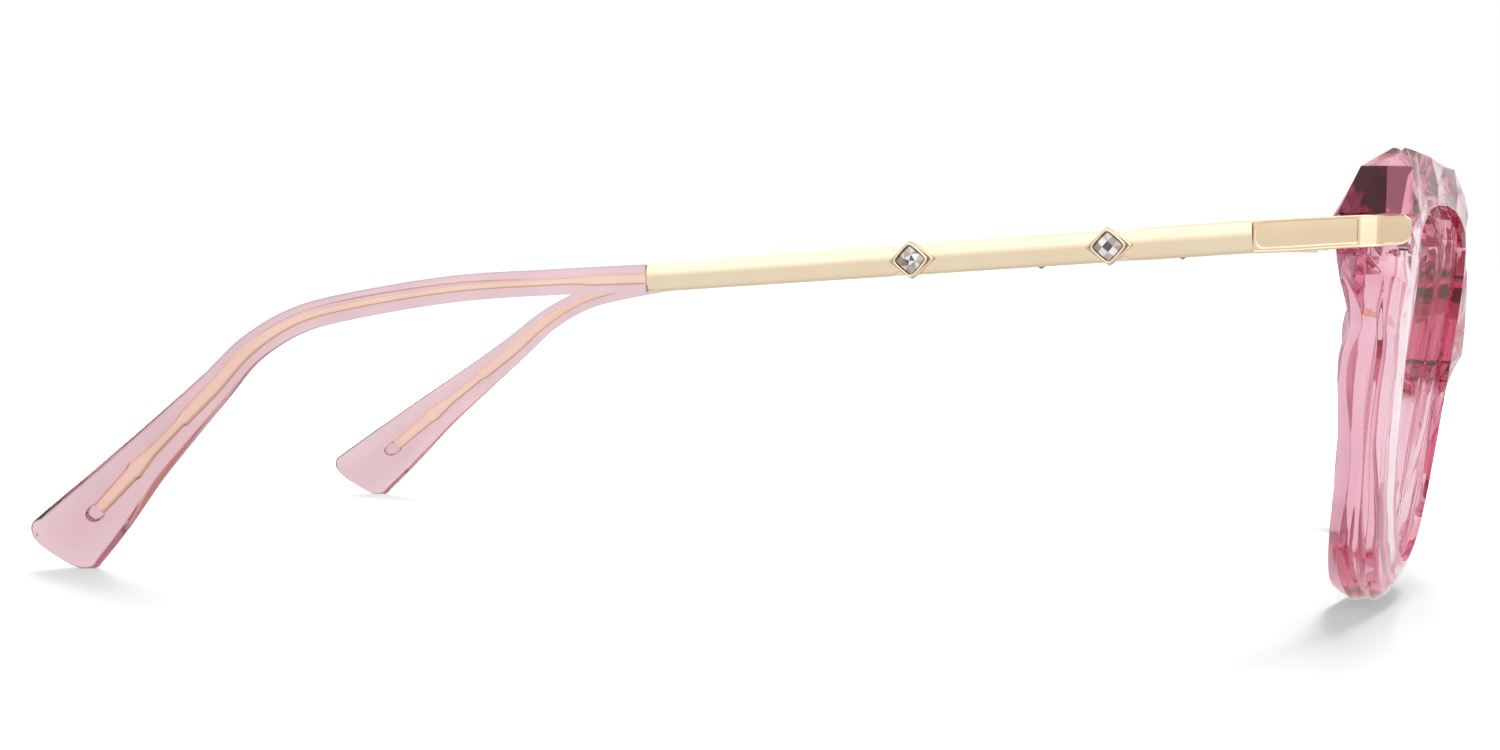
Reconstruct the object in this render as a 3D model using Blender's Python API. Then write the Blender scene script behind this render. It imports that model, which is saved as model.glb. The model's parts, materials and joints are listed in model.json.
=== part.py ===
"""Cat eye glasses: a thick clear faceted front on slim metal temples with crystals and clear tips.

Metres, +Z up, standing on the bottoms of both rims and on both temple tips. -X is the wearer's
right and -Y is the way the wearer looks. A depth is measured backwards from the hinge seam, where
the front part ends and the folding temples begin, and SEAM_Y is that seam's place.
"""

import math

import bmesh
import bpy
import numpy as np
from mathutils import Matrix, Vector

MM = 0.001
SIDES = (("right", -1), ("left", 1))
SEAM_Y = -57.1 * MM

# Front: a shallow bowl that leans back towards its bottom edge.
FRONT_DEPTH = -24.0 * MM
FRONT_WRAP = 8.3 * MM
FRONT_HALF_WIDTH = 68.0 * MM
FRONT_LEAN = math.radians(8.25)
LEAN_FROM_HEIGHT = 38.0 * MM
LEAN_BLEND = 6.0 * MM
FRONT_THICKNESS = 5.3 * MM
INNER_THICKNESS = 4.95 * MM
APERTURE_CENTRE = (36.0 * MM, 24.0 * MM)
STATIONS_PER_FACET = 2

# Lens seat: a groove round each opening, with the lens tongue inside it.
SEAT_DEPTH = 2.5 * MM
GROOVE_REACH = 1.3 * MM
GROOVE_MOUTH = 0.95 * MM
GROOVE_FLOOR = 0.65 * MM
LENS_SIDES = 36
LENS_HALF_THICKNESS = 1.0 * MM
LENS_INSET = 0.3 * MM
TONGUE_REACH = 1.0 * MM
TONGUE_HALF_THICKNESS = 0.4 * MM

# Temple bar: runs back from the seam, sloping down and slightly in. Places on its outer face.
SEAM_X = 68.0 * MM
SEAM_Z = 39.78 * MM
JOINT_X = 64.46 * MM
JOINT_DEPTH = 63.1 * MM
JOINT_Z = 34.41 * MM
BAR_START = 0.15 * MM
BAR_HALF_HEIGHT_FRONT = 1.65 * MM
BAR_HALF_HEIGHT_REAR = 1.52 * MM
BAR_THICKNESS = 1.5 * MM
BAR_CROWN = 0.45 * MM
BAR_EDGE = 0.15 * MM

# Bezels stand on one corner, and the bar is notched beside each, on the side away from the other.
BEZEL_PLACES = (("front", 14.45 * MM, -1), ("rear", 34.85 * MM, 1))
BEZEL_SEAT_GAP = 0.18 * MM
BEZEL_BASE = (2.26 * MM, 1.94 * MM)
BEZEL_RING = (1.80 * MM, 1.78 * MM)
BEZEL_POCKET = (1.50 * MM, 1.48 * MM)
BEZEL_BASE_HEIGHT = 0.75 * MM
BEZEL_HEIGHT = 1.55 * MM
BEZEL_FLOOR = 0.40 * MM
CRYSTAL_HALF_DIAGONAL = 1.2 * MM
CRYSTAL_BOTTOM = 0.52 * MM

# Hinge: three knuckles on one upright screw, inside the line of the temple.
PIN_X = 64.95 * MM
KNUCKLE_RADIUS = 1.1 * MM
KNUCKLE_BORE = 0.6 * MM
KNUCKLE_GAP = 0.1 * MM
KNUCKLE_BOTTOM = -1.5 * MM
KNUCKLE_TOP = 1.1 * MM
KNUCKLE_SPLITS = (-0.65 * MM, 0.25 * MM)
SCREW_RADIUS = 0.5 * MM
SCREW_HEAD_RADIUS = 0.95 * MM
SCREW_HEAD = (1.18 * MM, 1.5 * MM)
LEAF_INNER_X = 65.25 * MM
LEAF_OUTER_X = 65.95 * MM
LEAF_START = 1.3 * MM
LEAF_END = 6.4 * MM

# End piece: the gold plate on the front's outer corner.
PLATE_SEAT_SIDE_DEPTH = -11.6 * MM
PLATE_SEAT_FRONT = (64.2 * MM, -14.9 * MM)
PLATE_SLOPE = math.tan(math.radians(3.8))
PLATE_DISH = 0.12 * MM
PIN_HOLE_RADIUS = 0.7 * MM
CORNER_PIN_RADIUS = 0.5 * MM
CORNER_PIN_DEPTH = -10.0 * MM
CORNER_PIN_Z = 40.5 * MM
CORNER_PIN_X = (64.6 * MM, 67.4 * MM)
PIN_HOLE_X = (64.4 * MM, 69.0 * MM)

# Temple tip, a clear sleeve over the core wire that ends in a flat paddle.
SECTION_SIDES = 12
CORE_HALF_THICKNESS = 0.42 * MM
CHANNEL_GAP = 0.15 * MM
CHANNEL_OVERRUN = 1.1 * MM
CORE_START = 0.25 * MM
CORE_LENGTH = 74.5 * MM


def mm(rows):
    return np.array(rows, float) * MM


# Places on the half front, across and up, the way round the opening from the bridge.
APERTURE = mm([
    (33, 4.3), (45, 6.9), (54.5, 15), (59.8, 26), (61.5, 36.5), (58.5, 42.2), (49, 43.4),
    (35, 42.5), (18.5, 39.2), (10.4, 31.5), (11.2, 20.5), (18.5, 9.0),
])
# Corners of the half outline: across, up, the front's thickness there, and how far the ridge
# beside the corner is set back from the front's foremost surface.
BRIDGE = mm([(0, 26.2, 6.0, -0.9), (0, 29.5, 6.0, -0.7), (0, 33.0, 5.8, -0.4), (0, 36.4, 5.3, 0)])
BROW = mm([
    (6.0, 38.6, 5.3, 0.8), (12.5, 42.6, 5.3, 1.1), (20, 45.6, 5.3, 0.8), (29.5, 46.8, 5.3, 1.0),
    (39, 47.7, 5.3, 0.7), (48, 48.3, 5.3, 0.9), (57, 48.8, 5.3, 0.6), (63.5, 49.0, 4.9, 0.8),
])
LUG = mm([
    (68.6, 47.0, 5.9, 0.8), (68.6, 43.6, 8.0, 1.1), (67.45, 43.0, 8.0, 0), (67.45, 38.0, 7.3, 0),
    (67.6, 36.2, 6.4, 0.8), (65.6, 32.6, 5.9, 1.1),
])
LOWER_RIM = mm([
    (65.0, 26, 6.1, 0.8), (62.6, 18.6, 5.5, 1.1), (58.4, 11.6, 5.9, 0.9), (52.0, 5.6, 6.7, 1.3),
    (44.0, 1.6, 7.2, 1.6), (38.5, 0, 6.5, 1.9), (32.5, 0, 6.3, 2.0), (26, 0.7, 5.9, 1.9),
    (18.5, 3.8, 5.5, 2.1), (12.8, 8.8, 5.3, 1.7), (9.2, 14.2, 5.3, 1.1), (6.9, 19.8, 5.3, 0.6),
    (4.6, 23.4, 5.6, 0.3),
])

# End piece along its outer face: across, depth, half height, thickness.
PLATE = mm([
    (65.2, -15.6, 1.0, 0.95), (65.9, -14.9, 1.55, 1.0), (67.5, -13.3, 1.65, 1.0),
    (68.45, -12.2, 1.65, 1.0), (68.65, -10.9, 1.65, 1.0), (68.65, -7.6, 1.65, 1.0),
    (68.6, -6.9, 1.65, 2.35), (68.35, -4.2, 1.65, 2.15), (68.05, -0.9, 1.65, 1.85),
    (68.0, -0.1, 1.65, 1.8),
])
DISHED = (4, 5, 6, 7)

# Temple tip: depth, height, half height, across, half thickness of its middle line.
TIP = mm([
    (63.3, 34.35, 1.52, 63.20, 1.25), (73.2, 33.80, 1.40, 63.05, 1.25),
    (84.5, 32.85, 1.45, 63.10, 1.30), (95.8, 30.85, 1.48, 63.10, 1.35),
    (102.4, 29.00, 1.51, 62.90, 1.40), (107.8, 25.80, 1.64, 62.15, 1.45),
    (112.3, 21.60, 1.96, 60.75, 1.50), (117.4, 17.05, 2.45, 58.70, 1.55),
    (122.6, 12.45, 3.03, 56.50, 1.60), (127.9, 7.50, 3.90, 54.55, 1.60),
    (133.6, 2.40, 4.80, 52.90, 1.50),
])
# How far the last sections turn, so that the paddle's end is cut on a slant.
PADDLE_TURN = {9: math.radians(-9), 10: math.radians(-21)}
# Core wire, as share of its length and half height: tang, wire, flat, waist, barb and end.
CORE_PROFILE = [
    (0.0, 0.80), (0.075, 0.80), (0.105, 0.50), (0.52, 0.47), (0.60, 0.60), (0.70, 0.76),
    (0.775, 0.76), (0.785, 0.54), (0.86, 0.62), (0.905, 1.02), (0.915, 0.84), (1.0, 0.72),
]

ACETATE_PINK = (0.93, 0.62, 0.72)
TIP_PINK = (0.93, 0.74, 0.78)
GOLD = (0.90, 0.78, 0.57)
ROSE_GOLD = (0.89, 0.66, 0.50)
CLEAR = (0.98, 0.97, 0.97)
SCREW_METAL = (0.76, 0.69, 0.56)


def material(name, colour, metallic, roughness, transmission=0.0):
    made = bpy.data.materials.new(name)
    made.use_nodes = True
    shader = made.node_tree.nodes["Principled BSDF"]
    shader.inputs["Base Color"].default_value = (*colour, 1.0)
    shader.inputs["Metallic"].default_value = metallic
    shader.inputs["Roughness"].default_value = roughness
    shader.inputs["Transmission Weight"].default_value = transmission
    return made


def add_object(name, bm, finish, pivot=None, smooth_angle=0):
    """Turns the mesh work into an object; a moving piece hangs from the empty on its hinge."""
    bmesh.ops.recalc_face_normals(bm, faces=bm.faces)
    mesh = bpy.data.meshes.new(name)
    bm.to_mesh(mesh)
    bm.free()
    if smooth_angle:
        mesh.shade_smooth()
        mesh.set_sharp_from_angle(angle=math.radians(smooth_angle))
    mesh.materials.append(finish)
    made = bpy.data.objects.new(name, mesh)
    bpy.context.collection.objects.link(made)
    if pivot is not None:
        mesh.transform(Matrix.Translation(-pivot.location))
        made.parent = pivot
    return made


def lofted(sections, closed=False):
    """Faces through sections of equal point count, capped unless the row closes on itself."""
    bm = bmesh.new()
    rings = [[bm.verts.new(point) for point in section] for section in sections]
    pairs = list(zip(rings, rings[1:]))
    if closed:
        pairs.append((rings[-1], rings[0]))
    for a, b in pairs:
        for i in range(len(a)):
            j = (i + 1) % len(a)
            bm.faces.new((a[i], a[j], b[j], b[i]))
    if not closed:
        bm.faces.new(rings[0])
        bm.faces.new(rings[-1][::-1])
    return bm


def box(low, high):
    bm = bmesh.new()
    bmesh.ops.create_cube(bm, size=1.0)
    low, high = Vector(low), Vector(high)
    size = high - low
    place = Matrix.Translation((low + high) / 2) @ Matrix.Diagonal((*size, 1.0))
    bmesh.ops.transform(bm, matrix=place, verts=bm.verts)
    return bm


def cylinder(centre, radius, length, axis="Z", sides=20):
    bm = bmesh.new()
    turn = Matrix.Rotation(math.pi / 2, 4, "Y") if axis == "X" else Matrix.Identity(4)
    bmesh.ops.create_cone(bm, cap_ends=True, segments=sides, radius1=radius, radius2=radius,
                          depth=length, matrix=Matrix.Translation(centre) @ turn)
    return bm


def combine(target, operation, bm):
    """Joins or cuts a helper shape, kept as a hidden guide, with an exact Boolean."""
    helper = add_object(f"{target.name}_{operation.lower()}", bm, target.data.materials[0],
                        target.parent)
    helper.hide_render = True
    helper.display_type = "WIRE"
    modifier = target.modifiers.new(operation.title(), "BOOLEAN")
    modifier.operation = operation
    modifier.object = helper
    modifier.solver = "EXACT"


def smooth_path(points, per_span, closed=False):
    """Catmull-Rom curve through the points, with per_span samples between each two."""
    points = np.asarray(points, float)
    count = len(points)
    before, after = 2 * points[0] - points[1], 2 * points[-1] - points[-2]

    def at(i):
        if closed:
            return points[i % count]
        if i < 0:
            return before
        return after if i >= count else points[i]

    samples = []
    for i in range(count if closed else count - 1):
        a, b, c, d = at(i - 1), at(i), at(i + 1), at(i + 2)
        for k in range(per_span):
            t = k / per_span
            cubic = (2 * a - 5 * b + 4 * c - d) * t**2 + (3 * b - a - 3 * c + d) * t**3
            samples.append(0.5 * (2 * b + (c - a) * t + cubic))
    if not closed:
        samples.append(points[-1])
    return np.array(samples)


# --- Front, lenses and nose pads -----------------------------------------------------------


def front_depth(x, z):
    """Depth of the front's foremost surface at a place across and up the front."""
    below = LEAN_FROM_HEIGHT - z
    leaning = (below + math.hypot(below, LEAN_BLEND)) / 2
    bowl = FRONT_WRAP * (x / FRONT_HALF_WIDTH) ** 2
    return FRONT_DEPTH + bowl + math.tan(FRONT_LEAN) * leaning


def polar_angle(x, z):
    return math.atan2(z - APERTURE_CENTRE[1], x - APERTURE_CENTRE[0])


def aperture_table():
    """Angles and radii of the opening's edge about its centre, in order of angle."""
    curve = smooth_path(APERTURE, 24, closed=True) - APERTURE_CENTRE
    angles = np.arctan2(curve[:, 1], curve[:, 0])
    order = np.argsort(angles)
    return angles[order], np.hypot(curve[:, 0], curve[:, 1])[order]


APERTURE_ANGLES, APERTURE_RADII = aperture_table()


def aperture_point(angle, outset=0.0):
    """The opening's edge in a direction from its centre, moved outwards by outset."""
    radius = np.interp(angle, APERTURE_ANGLES, APERTURE_RADII, period=2 * math.pi) + outset
    return (APERTURE_CENTRE[0] + radius * math.cos(angle),
            APERTURE_CENTRE[1] + radius * math.sin(angle))


def front_section(corner, index):
    """Cross-section of the rim between the opening and one corner of the outline.

    Neighbouring corners carry their ridges at different places, which makes the facets."""
    odd, third = index % 2, index % 3
    outer, (thickness, setback) = corner[:2], corner[2:]
    angle = polar_angle(*outer)
    inner = aperture_point(angle)
    groove = aperture_point(angle, GROOVE_REACH)

    def at(place, depth):
        return (place[0], front_depth(*place) + depth, place[1])

    def between(share, depth):
        return at((1 - share) * np.array(inner) + share * np.array(outer), depth)

    return np.array([
        at(inner, 0.95 * MM),
        between(0.40 + 0.20 * odd, 0.35 * MM * odd + 0.45 * setback),
        between(0.84 + 0.05 * third, setback),
        at(outer, setback + (0.8, 1.4, 1.1)[third] * MM),
        at(outer, thickness - (1.5, 0.9, 1.9)[third] * MM),
        between(0.74 + 0.10 * odd, thickness),
        at(inner, INNER_THICKNESS),
        at(inner, SEAT_DEPTH + GROOVE_MOUTH),
        at(groove, SEAT_DEPTH + GROOVE_FLOOR),
        at(groove, SEAT_DEPTH - GROOVE_FLOOR),
        at(inner, SEAT_DEPTH - GROOVE_MOUTH),
    ])


OPENING_POINTS = ((0, 0.0), (6, 0.0), (7, 0.0), (8, GROOVE_REACH), (9, GROOVE_REACH), (10, 0.0))


def bridge_section(corner, index):
    """The front and back run straight across the middle plane, with no chamfer at it."""
    section = front_section(corner, index)
    section[2][1] = section[3][1] = front_depth(0, corner[1]) + corner[3]
    section[5][1] = section[4][1] = front_depth(0, corner[1]) + corner[2]
    return section


def plate_seat_section(corner, index):
    """A section of the lug under the end piece: a flat side and a flat slanted corner."""
    section = front_section(corner, index)
    height = corner[1]
    front_edge = np.array([*PLATE_SEAT_FRONT, height])
    section[1] = section[0] + 0.3 * (front_edge - section[0])
    section[2] = front_edge
    section[3] = (corner[0], PLATE_SEAT_SIDE_DEPTH, height)
    section[4][1] = section[5][1] - 0.8 * MM
    return section


def over_seat_section(corner, index):
    """The wing's lower edge, kept clear above the end piece."""
    section = front_section(corner, index)
    section[1][2] = section[2][2] = corner[1]
    return section


def front_corner_sections():
    corners = np.concatenate([BRIDGE, BROW, LUG, LOWER_RIM])
    first_lug = len(BRIDGE) + len(BROW)
    special = {first_lug + 1: over_seat_section, first_lug + 2: plate_seat_section,
               first_lug + 3: plate_seat_section}
    special.update({i: bridge_section for i in range(len(BRIDGE))})
    return [special.get(i, front_section)(corner, i) for i, corner in enumerate(corners)]


def front_frame(finish):
    corner_sections = front_corner_sections()
    sections = []
    for section, following in zip(corner_sections, corner_sections[1:] + corner_sections[:1]):
        for k in range(STATIONS_PER_FACET):
            share = k / STATIONS_PER_FACET
            station = (1 - share) * section + share * following
            # The opening and its groove stay on their smooth curve between the corners.
            for place, outset in OPENING_POINTS:
                x, depth, z = station[place]
                offset = depth - front_depth(x, z)
                x, z = aperture_point(polar_angle(x, z), outset)
                station[place] = (x, front_depth(x, z) + offset, z)
            sections.append(station)
    bm = lofted(np.array(sections) + (0, SEAM_Y, 0), closed=True)
    tiny = 0.001 * MM
    on_middle = [f for f in bm.faces if all(abs(v.co.x) < tiny for v in f.verts)]
    bmesh.ops.delete(bm, geom=on_middle, context="FACES")
    loose = [v for v in bm.verts if not v.link_faces]
    bmesh.ops.delete(bm, geom=loose, context="VERTS")
    bmesh.ops.mirror(bm, geom=bm.verts[:] + bm.edges[:] + bm.faces[:], axis="X", merge_dist=tiny)
    bmesh.ops.remove_doubles(bm, verts=bm.verts, dist=tiny)
    front = add_object("front_frame", bm, finish)
    for _, side in SIDES:
        middle = side * sum(PIN_HOLE_X) / 2
        hole = cylinder((middle, SEAM_Y + CORNER_PIN_DEPTH, CORNER_PIN_Z), PIN_HOLE_RADIUS,
                        PIN_HOLE_X[1] - PIN_HOLE_X[0], "X", 16)
        combine(front, "DIFFERENCE", hole)
    return front


def lens(name, side, finish):
    """A curved plate with a tongue round its edge that sits in the groove."""
    angles = np.linspace(-math.pi, math.pi, LENS_SIDES, endpoint=False)

    def ring(share, offset, outset):
        points = []
        for angle in angles:
            edge = np.array(aperture_point(angle, outset)) - APERTURE_CENTRE
            x, z = APERTURE_CENTRE + share * edge
            points.append((side * x, SEAM_Y + front_depth(x, z) + SEAT_DEPTH + offset, z))
        return points

    shares = (0.15, 0.45, 0.75, 1.0)
    front = [ring(share, -LENS_HALF_THICKNESS, -LENS_INSET) for share in shares]
    edge = [
        ring(1.0, -TONGUE_HALF_THICKNESS, -LENS_INSET),
        ring(1.0, -0.6 * TONGUE_HALF_THICKNESS, TONGUE_REACH),
        ring(1.0, 0.6 * TONGUE_HALF_THICKNESS, TONGUE_REACH),
        ring(1.0, TONGUE_HALF_THICKNESS, -LENS_INSET),
    ]
    back = [ring(share, LENS_HALF_THICKNESS, -LENS_INSET) for share in shares[::-1]]
    return add_object(name, lofted(front + edge + back), finish, smooth_angle=35)


def nose_pad(name, side, finish):
    """A moulded pad behind the nasal side of the rim, thickest in the middle."""
    sections = []
    for share in np.linspace(0, 1, 9):
        z = (12.6 + 12.4 * share) * MM
        swell = math.sin(math.pi * (0.06 + 0.88 * share)) ** 0.6
        x = (13.4 - 4.3 * share - 1.2 * math.sin(math.pi * share)) * MM
        back = front_depth(x, z) + FRONT_THICKNESS + 0.35 * MM
        section = []
        for turn in np.linspace(0, 2 * math.pi, 12, endpoint=False):
            along = 0.5 * (1 - math.cos(turn))
            across = 1.35 * MM * swell * math.sin(turn) * (1.25 - 0.5 * along)
            outwards = 1.9 * MM * along**2 * swell
            place = (side * (x + across + outwards), SEAM_Y + back + 5.4 * MM * swell * along, z)
            section.append(place)
        sections.append(section)
    return add_object(name, lofted(sections), finish, smooth_angle=40)


# --- End pieces and hinges -----------------------------------------------------------------


def end_piece(name, side, finish):
    """The metal piece that wraps the front's outer corner and reaches back to the seam."""
    sections = []
    tangents = np.gradient(PLATE[:, :2], axis=0)
    for index, (x, depth, half, thick) in enumerate(PLATE):
        across, back = tangents[index] / np.hypot(*tangents[index])
        middle = SEAM_Z - depth * PLATE_SLOPE
        dish = PLATE_DISH if index in DISHED else 0.0
        rim = half - 0.4 * MM
        edge = 0.15 * MM
        profile = [(edge, half), (0, half - edge), (0, rim), (dish, rim - edge),
                   (dish, edge - rim), (0, -rim), (0, edge - half), (edge, -half),
                   (thick, -half), (thick, half)]
        sections.append([
            (side * (x - back * inwards), SEAM_Y + depth + across * inwards, middle + up)
            for inwards, up in profile
        ])
    return add_object(name, lofted(sections), finish, smooth_angle=25)


def corner_pin(name, side, finish):
    """The dowel that holds the end piece to the lug, inside its hole."""
    low, high = CORNER_PIN_X
    centre = (side * (low + high) / 2, SEAM_Y + CORNER_PIN_DEPTH, CORNER_PIN_Z)
    bm = cylinder(centre, CORNER_PIN_RADIUS, high - low, "X", 16)
    return add_object(name, bm, finish, smooth_angle=40)


def hinge_leaf(name, side, way, knuckles, finish, pivot=None):
    """A plate beside the seam with its knuckles; way is -1 before the seam and 1 behind it."""
    def block(near, far, low, high):
        xs = sorted((side * LEAF_INNER_X, side * LEAF_OUTER_X))
        ys = sorted((SEAM_Y + way * near, SEAM_Y + way * far))
        return box((xs[0], ys[0], SEAM_Z + low), (xs[1], ys[1], SEAM_Z + high))

    leaf = add_object(name, block(LEAF_START, LEAF_END, KNUCKLE_BOTTOM, KNUCKLE_TOP), finish, pivot)
    for low, high in knuckles:
        combine(leaf, "UNION", block(0, LEAF_START + 0.1 * MM, low, high))
        centre = (side * PIN_X, SEAM_Y, SEAM_Z + (low + high) / 2)
        combine(leaf, "UNION", cylinder(centre, KNUCKLE_RADIUS, high - low))
    bore = cylinder((side * PIN_X, SEAM_Y, SEAM_Z), KNUCKLE_BORE, 6 * MM)
    combine(leaf, "DIFFERENCE", bore)
    return leaf


def hinge_screw(name, side, finish):
    """Shaft through all three knuckles, with a slotted head on top."""
    profile = [(SCREW_RADIUS, KNUCKLE_BOTTOM), (SCREW_RADIUS, SCREW_HEAD[0]),
               (SCREW_HEAD_RADIUS, SCREW_HEAD[0]), (SCREW_HEAD_RADIUS, SCREW_HEAD[1] - 0.1 * MM),
               (SCREW_HEAD_RADIUS - 0.1 * MM, SCREW_HEAD[1])]
    turns = np.linspace(0, 2 * math.pi, 18, endpoint=False)
    sections = [
        [(side * PIN_X + r * math.cos(turn), SEAM_Y + r * math.sin(turn), SEAM_Z + z)
         for turn in turns]
        for r, z in profile
    ]
    screw = add_object(name, lofted(sections), finish, smooth_angle=40)
    slot = box((side * PIN_X - 1.5 * MM, SEAM_Y - 0.13 * MM, SEAM_Z + SCREW_HEAD[1] - 0.15 * MM),
               (side * PIN_X + 1.5 * MM, SEAM_Y + 0.13 * MM, SEAM_Z + SCREW_HEAD[1] + 1 * MM))
    combine(screw, "DIFFERENCE", slot)
    return screw


# --- Temples -------------------------------------------------------------------------------


class BarFrame:
    """Places on one temple bar: along it, up it, and out from the middle of its outer face."""

    def __init__(self, side):
        self.start = Vector((side * SEAM_X, SEAM_Y, SEAM_Z))
        end = Vector((side * JOINT_X, SEAM_Y + JOINT_DEPTH, JOINT_Z))
        self.length = (end - self.start).length
        self.along = (end - self.start).normalized()
        sideways = Vector((side, 0, 0))
        self.out = (sideways - sideways.dot(self.along) * self.along).normalized()
        self.up = side * self.out.cross(self.along)

    def place(self, along, up, out):
        return self.start + self.along * along + self.up * up + self.out * out

    def half_height(self, along):
        share = along / self.length
        return (1 - share) * BAR_HALF_HEIGHT_FRONT + share * BAR_HALF_HEIGHT_REAR


def crown(up, half):
    """How far the bar's outer face falls away from its middle line."""
    return -BAR_CROWN * min(1.0, abs(up) / half) ** 2


def bar_stations(frame):
    """(place along the bar, share of its height), with a notch beside each bezel."""
    stations = [(BAR_START, 0.96), (BAR_START + 0.2 * MM, 1.0)]
    for _, place, way in BEZEL_PLACES:
        notch = [(2.35, 1.0), (1.95, 0.93), (1.75, 0.84), (1.45, 0.74), (0.3, 1.0)]
        stations += sorted((place + way * offset * MM, share) for offset, share in notch)
    stations += [(frame.length - 0.35 * MM, 1.0), (frame.length - 0.1 * MM, 0.93),
                 (frame.length, 0.82)]
    return stations


def temple_bar(name, side, finish, pivot):
    frame = BarFrame(side)
    sections = []
    for along, share in bar_stations(frame):
        full = frame.half_height(along)
        half = share * full
        levels = [k * half / 3 for k in range(-3, 4)]
        outer = [(up, crown(up, full)) for up in levels]
        inner = [(half, BAR_EDGE - BAR_THICKNESS), (half - BAR_EDGE, -BAR_THICKNESS),
                 (BAR_EDGE - half, -BAR_THICKNESS), (-half, BAR_EDGE - BAR_THICKNESS)]
        sections.append([frame.place(along, up, out) for up, out in outer + inner])
    return add_object(name, lofted(sections), finish, pivot, 28)


def rounded_rhombus(half_along, half_up, corner=0.16):
    """Sixteen points round a rhombus that stands on a corner, its corners rounded."""
    tips = [(1, 0), (0, 1), (-1, 0), (0, -1)]
    points = []
    for i, tip in enumerate(tips):
        before, after = np.array(tips[i - 1]), np.array(tips[(i + 1) % 4])
        tip = np.array(tip)
        start, end = tip + corner * (before - tip), tip + corner * (after - tip)
        for t in (0.0, 1 / 3, 2 / 3, 1.0):
            curve = (1 - t) ** 2 * start + 2 * t * (1 - t) * tip + t**2 * end
            points.append((curve[0] * half_along, curve[1] * half_up))
    return points


def bezel(name, side, place, finish, pivot):
    """A stepped square collar on the bar's outer face, with a pocket for its crystal."""
    frame = BarFrame(side)
    half = frame.half_height(place)

    def ring(size, out):
        return [frame.place(place + along, up, out) for along, up in rounded_rhombus(*size)]

    def seat_ring(share):
        return [frame.place(place + along, up, crown(up, half) + BEZEL_SEAT_GAP)
                for along, up in rounded_rhombus(*(share * size for size in BEZEL_BASE))]

    chamfered = [size - 0.12 * MM for size in BEZEL_BASE]
    lip = [(a + b) / 2 for a, b in zip(BEZEL_RING, BEZEL_POCKET)]
    sections = [
        seat_ring(0.1),
        seat_ring(0.4),
        seat_ring(0.7),
        seat_ring(1.0),
        ring(BEZEL_BASE, BEZEL_BASE_HEIGHT - 0.12 * MM),
        ring(chamfered, BEZEL_BASE_HEIGHT),
        ring(BEZEL_RING, BEZEL_BASE_HEIGHT + 0.05 * MM),
        ring(BEZEL_RING, BEZEL_HEIGHT - 0.12 * MM),
        ring(lip, BEZEL_HEIGHT),
        ring(BEZEL_POCKET, BEZEL_HEIGHT - 0.1 * MM),
        ring(BEZEL_POCKET, BEZEL_FLOOR),
    ]
    return add_object(name, lofted(sections), finish, pivot, 30)


def crystal(name, side, place, finish, pivot):
    """A square step-cut stone: pointed below, a flat table above, its corners cut off."""
    frame = BarFrame(side)
    steps = ((0.25, 0.0), (0.98, 0.42), (1.0, 0.50), (0.74, 0.70), (0.42, 0.84))
    sections = []
    for share, out in steps:
        size = share * CRYSTAL_HALF_DIAGONAL
        ring = [(1, -0.12), (1, 0.12), (0.12, 1), (-0.12, 1), (-1, 0.12), (-1, -0.12),
                (-0.12, -1), (0.12, -1)]
        sections.append([frame.place(place + along * size, up * size, CRYSTAL_BOTTOM + out * MM)
                         for along, up in ring])
    return add_object(name, lofted(sections), finish, pivot)


class TipPath:
    """The tip's middle line, with the size of its section, read at a distance from the joint."""

    def __init__(self, side):
        self.side = side
        self.rows = smooth_path(TIP, 6)
        steps = np.diff(self.rows[:, [0, 1, 3]], axis=0)
        self.distances = np.concatenate([[0], np.cumsum(np.linalg.norm(steps, axis=1))])
        knots = self.distances[::6]
        self.turns = np.interp(self.distances, knots,
                               [PADDLE_TURN.get(i, 0.0) for i in range(len(TIP))])
        self.length = self.distances[-1]

    def read(self, distance):
        row = [np.interp(distance, self.distances, column) for column in self.rows.T]
        turn = np.interp(distance, self.distances, self.turns)
        ahead, behind = (
            np.array([np.interp(d, self.distances, self.rows[:, i]) for i in (0, 1)])
            for d in (min(distance + 0.5 * MM, self.length), max(distance - 0.5 * MM, 0))
        )
        back, rise = (ahead - behind) / np.hypot(*(ahead - behind))
        up = Vector((0, -rise, back))
        up.rotate(Matrix.Rotation(turn, 3, "X"))
        depth, z, half, x, thick = row
        return Vector((self.side * x, SEAM_Y + depth, z)), up, half, thick

    def section(self, distance, half, thick, power=3.0, shift=0.0):
        """A rounded section: power 2 is an ellipse, and more is squarer."""
        centre, up, _, _ = self.read(distance)
        points = []
        for turn in np.linspace(0, 2 * math.pi, SECTION_SIDES, endpoint=False) + 0.26:
            c, s = math.cos(turn), math.sin(turn)
            across = math.copysign(abs(c) ** (2 / power), c) * thick
            upwards = math.copysign(abs(s) ** (2 / power), s) * half
            points.append(centre + Vector((across, 0, 0)) + up * upwards
                          + shift * up.cross(Vector((1, 0, 0))))
        return points


def core_half_height(distance):
    shares, halves = np.array(CORE_PROFILE).T
    return float(np.interp((distance - CORE_START) / CORE_LENGTH, shares, halves)) * MM


def core_stations():
    marks = [share * CORE_LENGTH + CORE_START for share, _ in CORE_PROFILE]
    bend = np.linspace(12, 52, 10) * MM
    return sorted(marks + list(bend))


def core_wire(name, side, finish, pivot):
    path = TipPath(side)
    sections = [path.section(d, core_half_height(d), CORE_HALF_THICKNESS, 3.5)
                for d in core_stations()]
    return add_object(name, lofted(sections), finish, pivot, 35)


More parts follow.
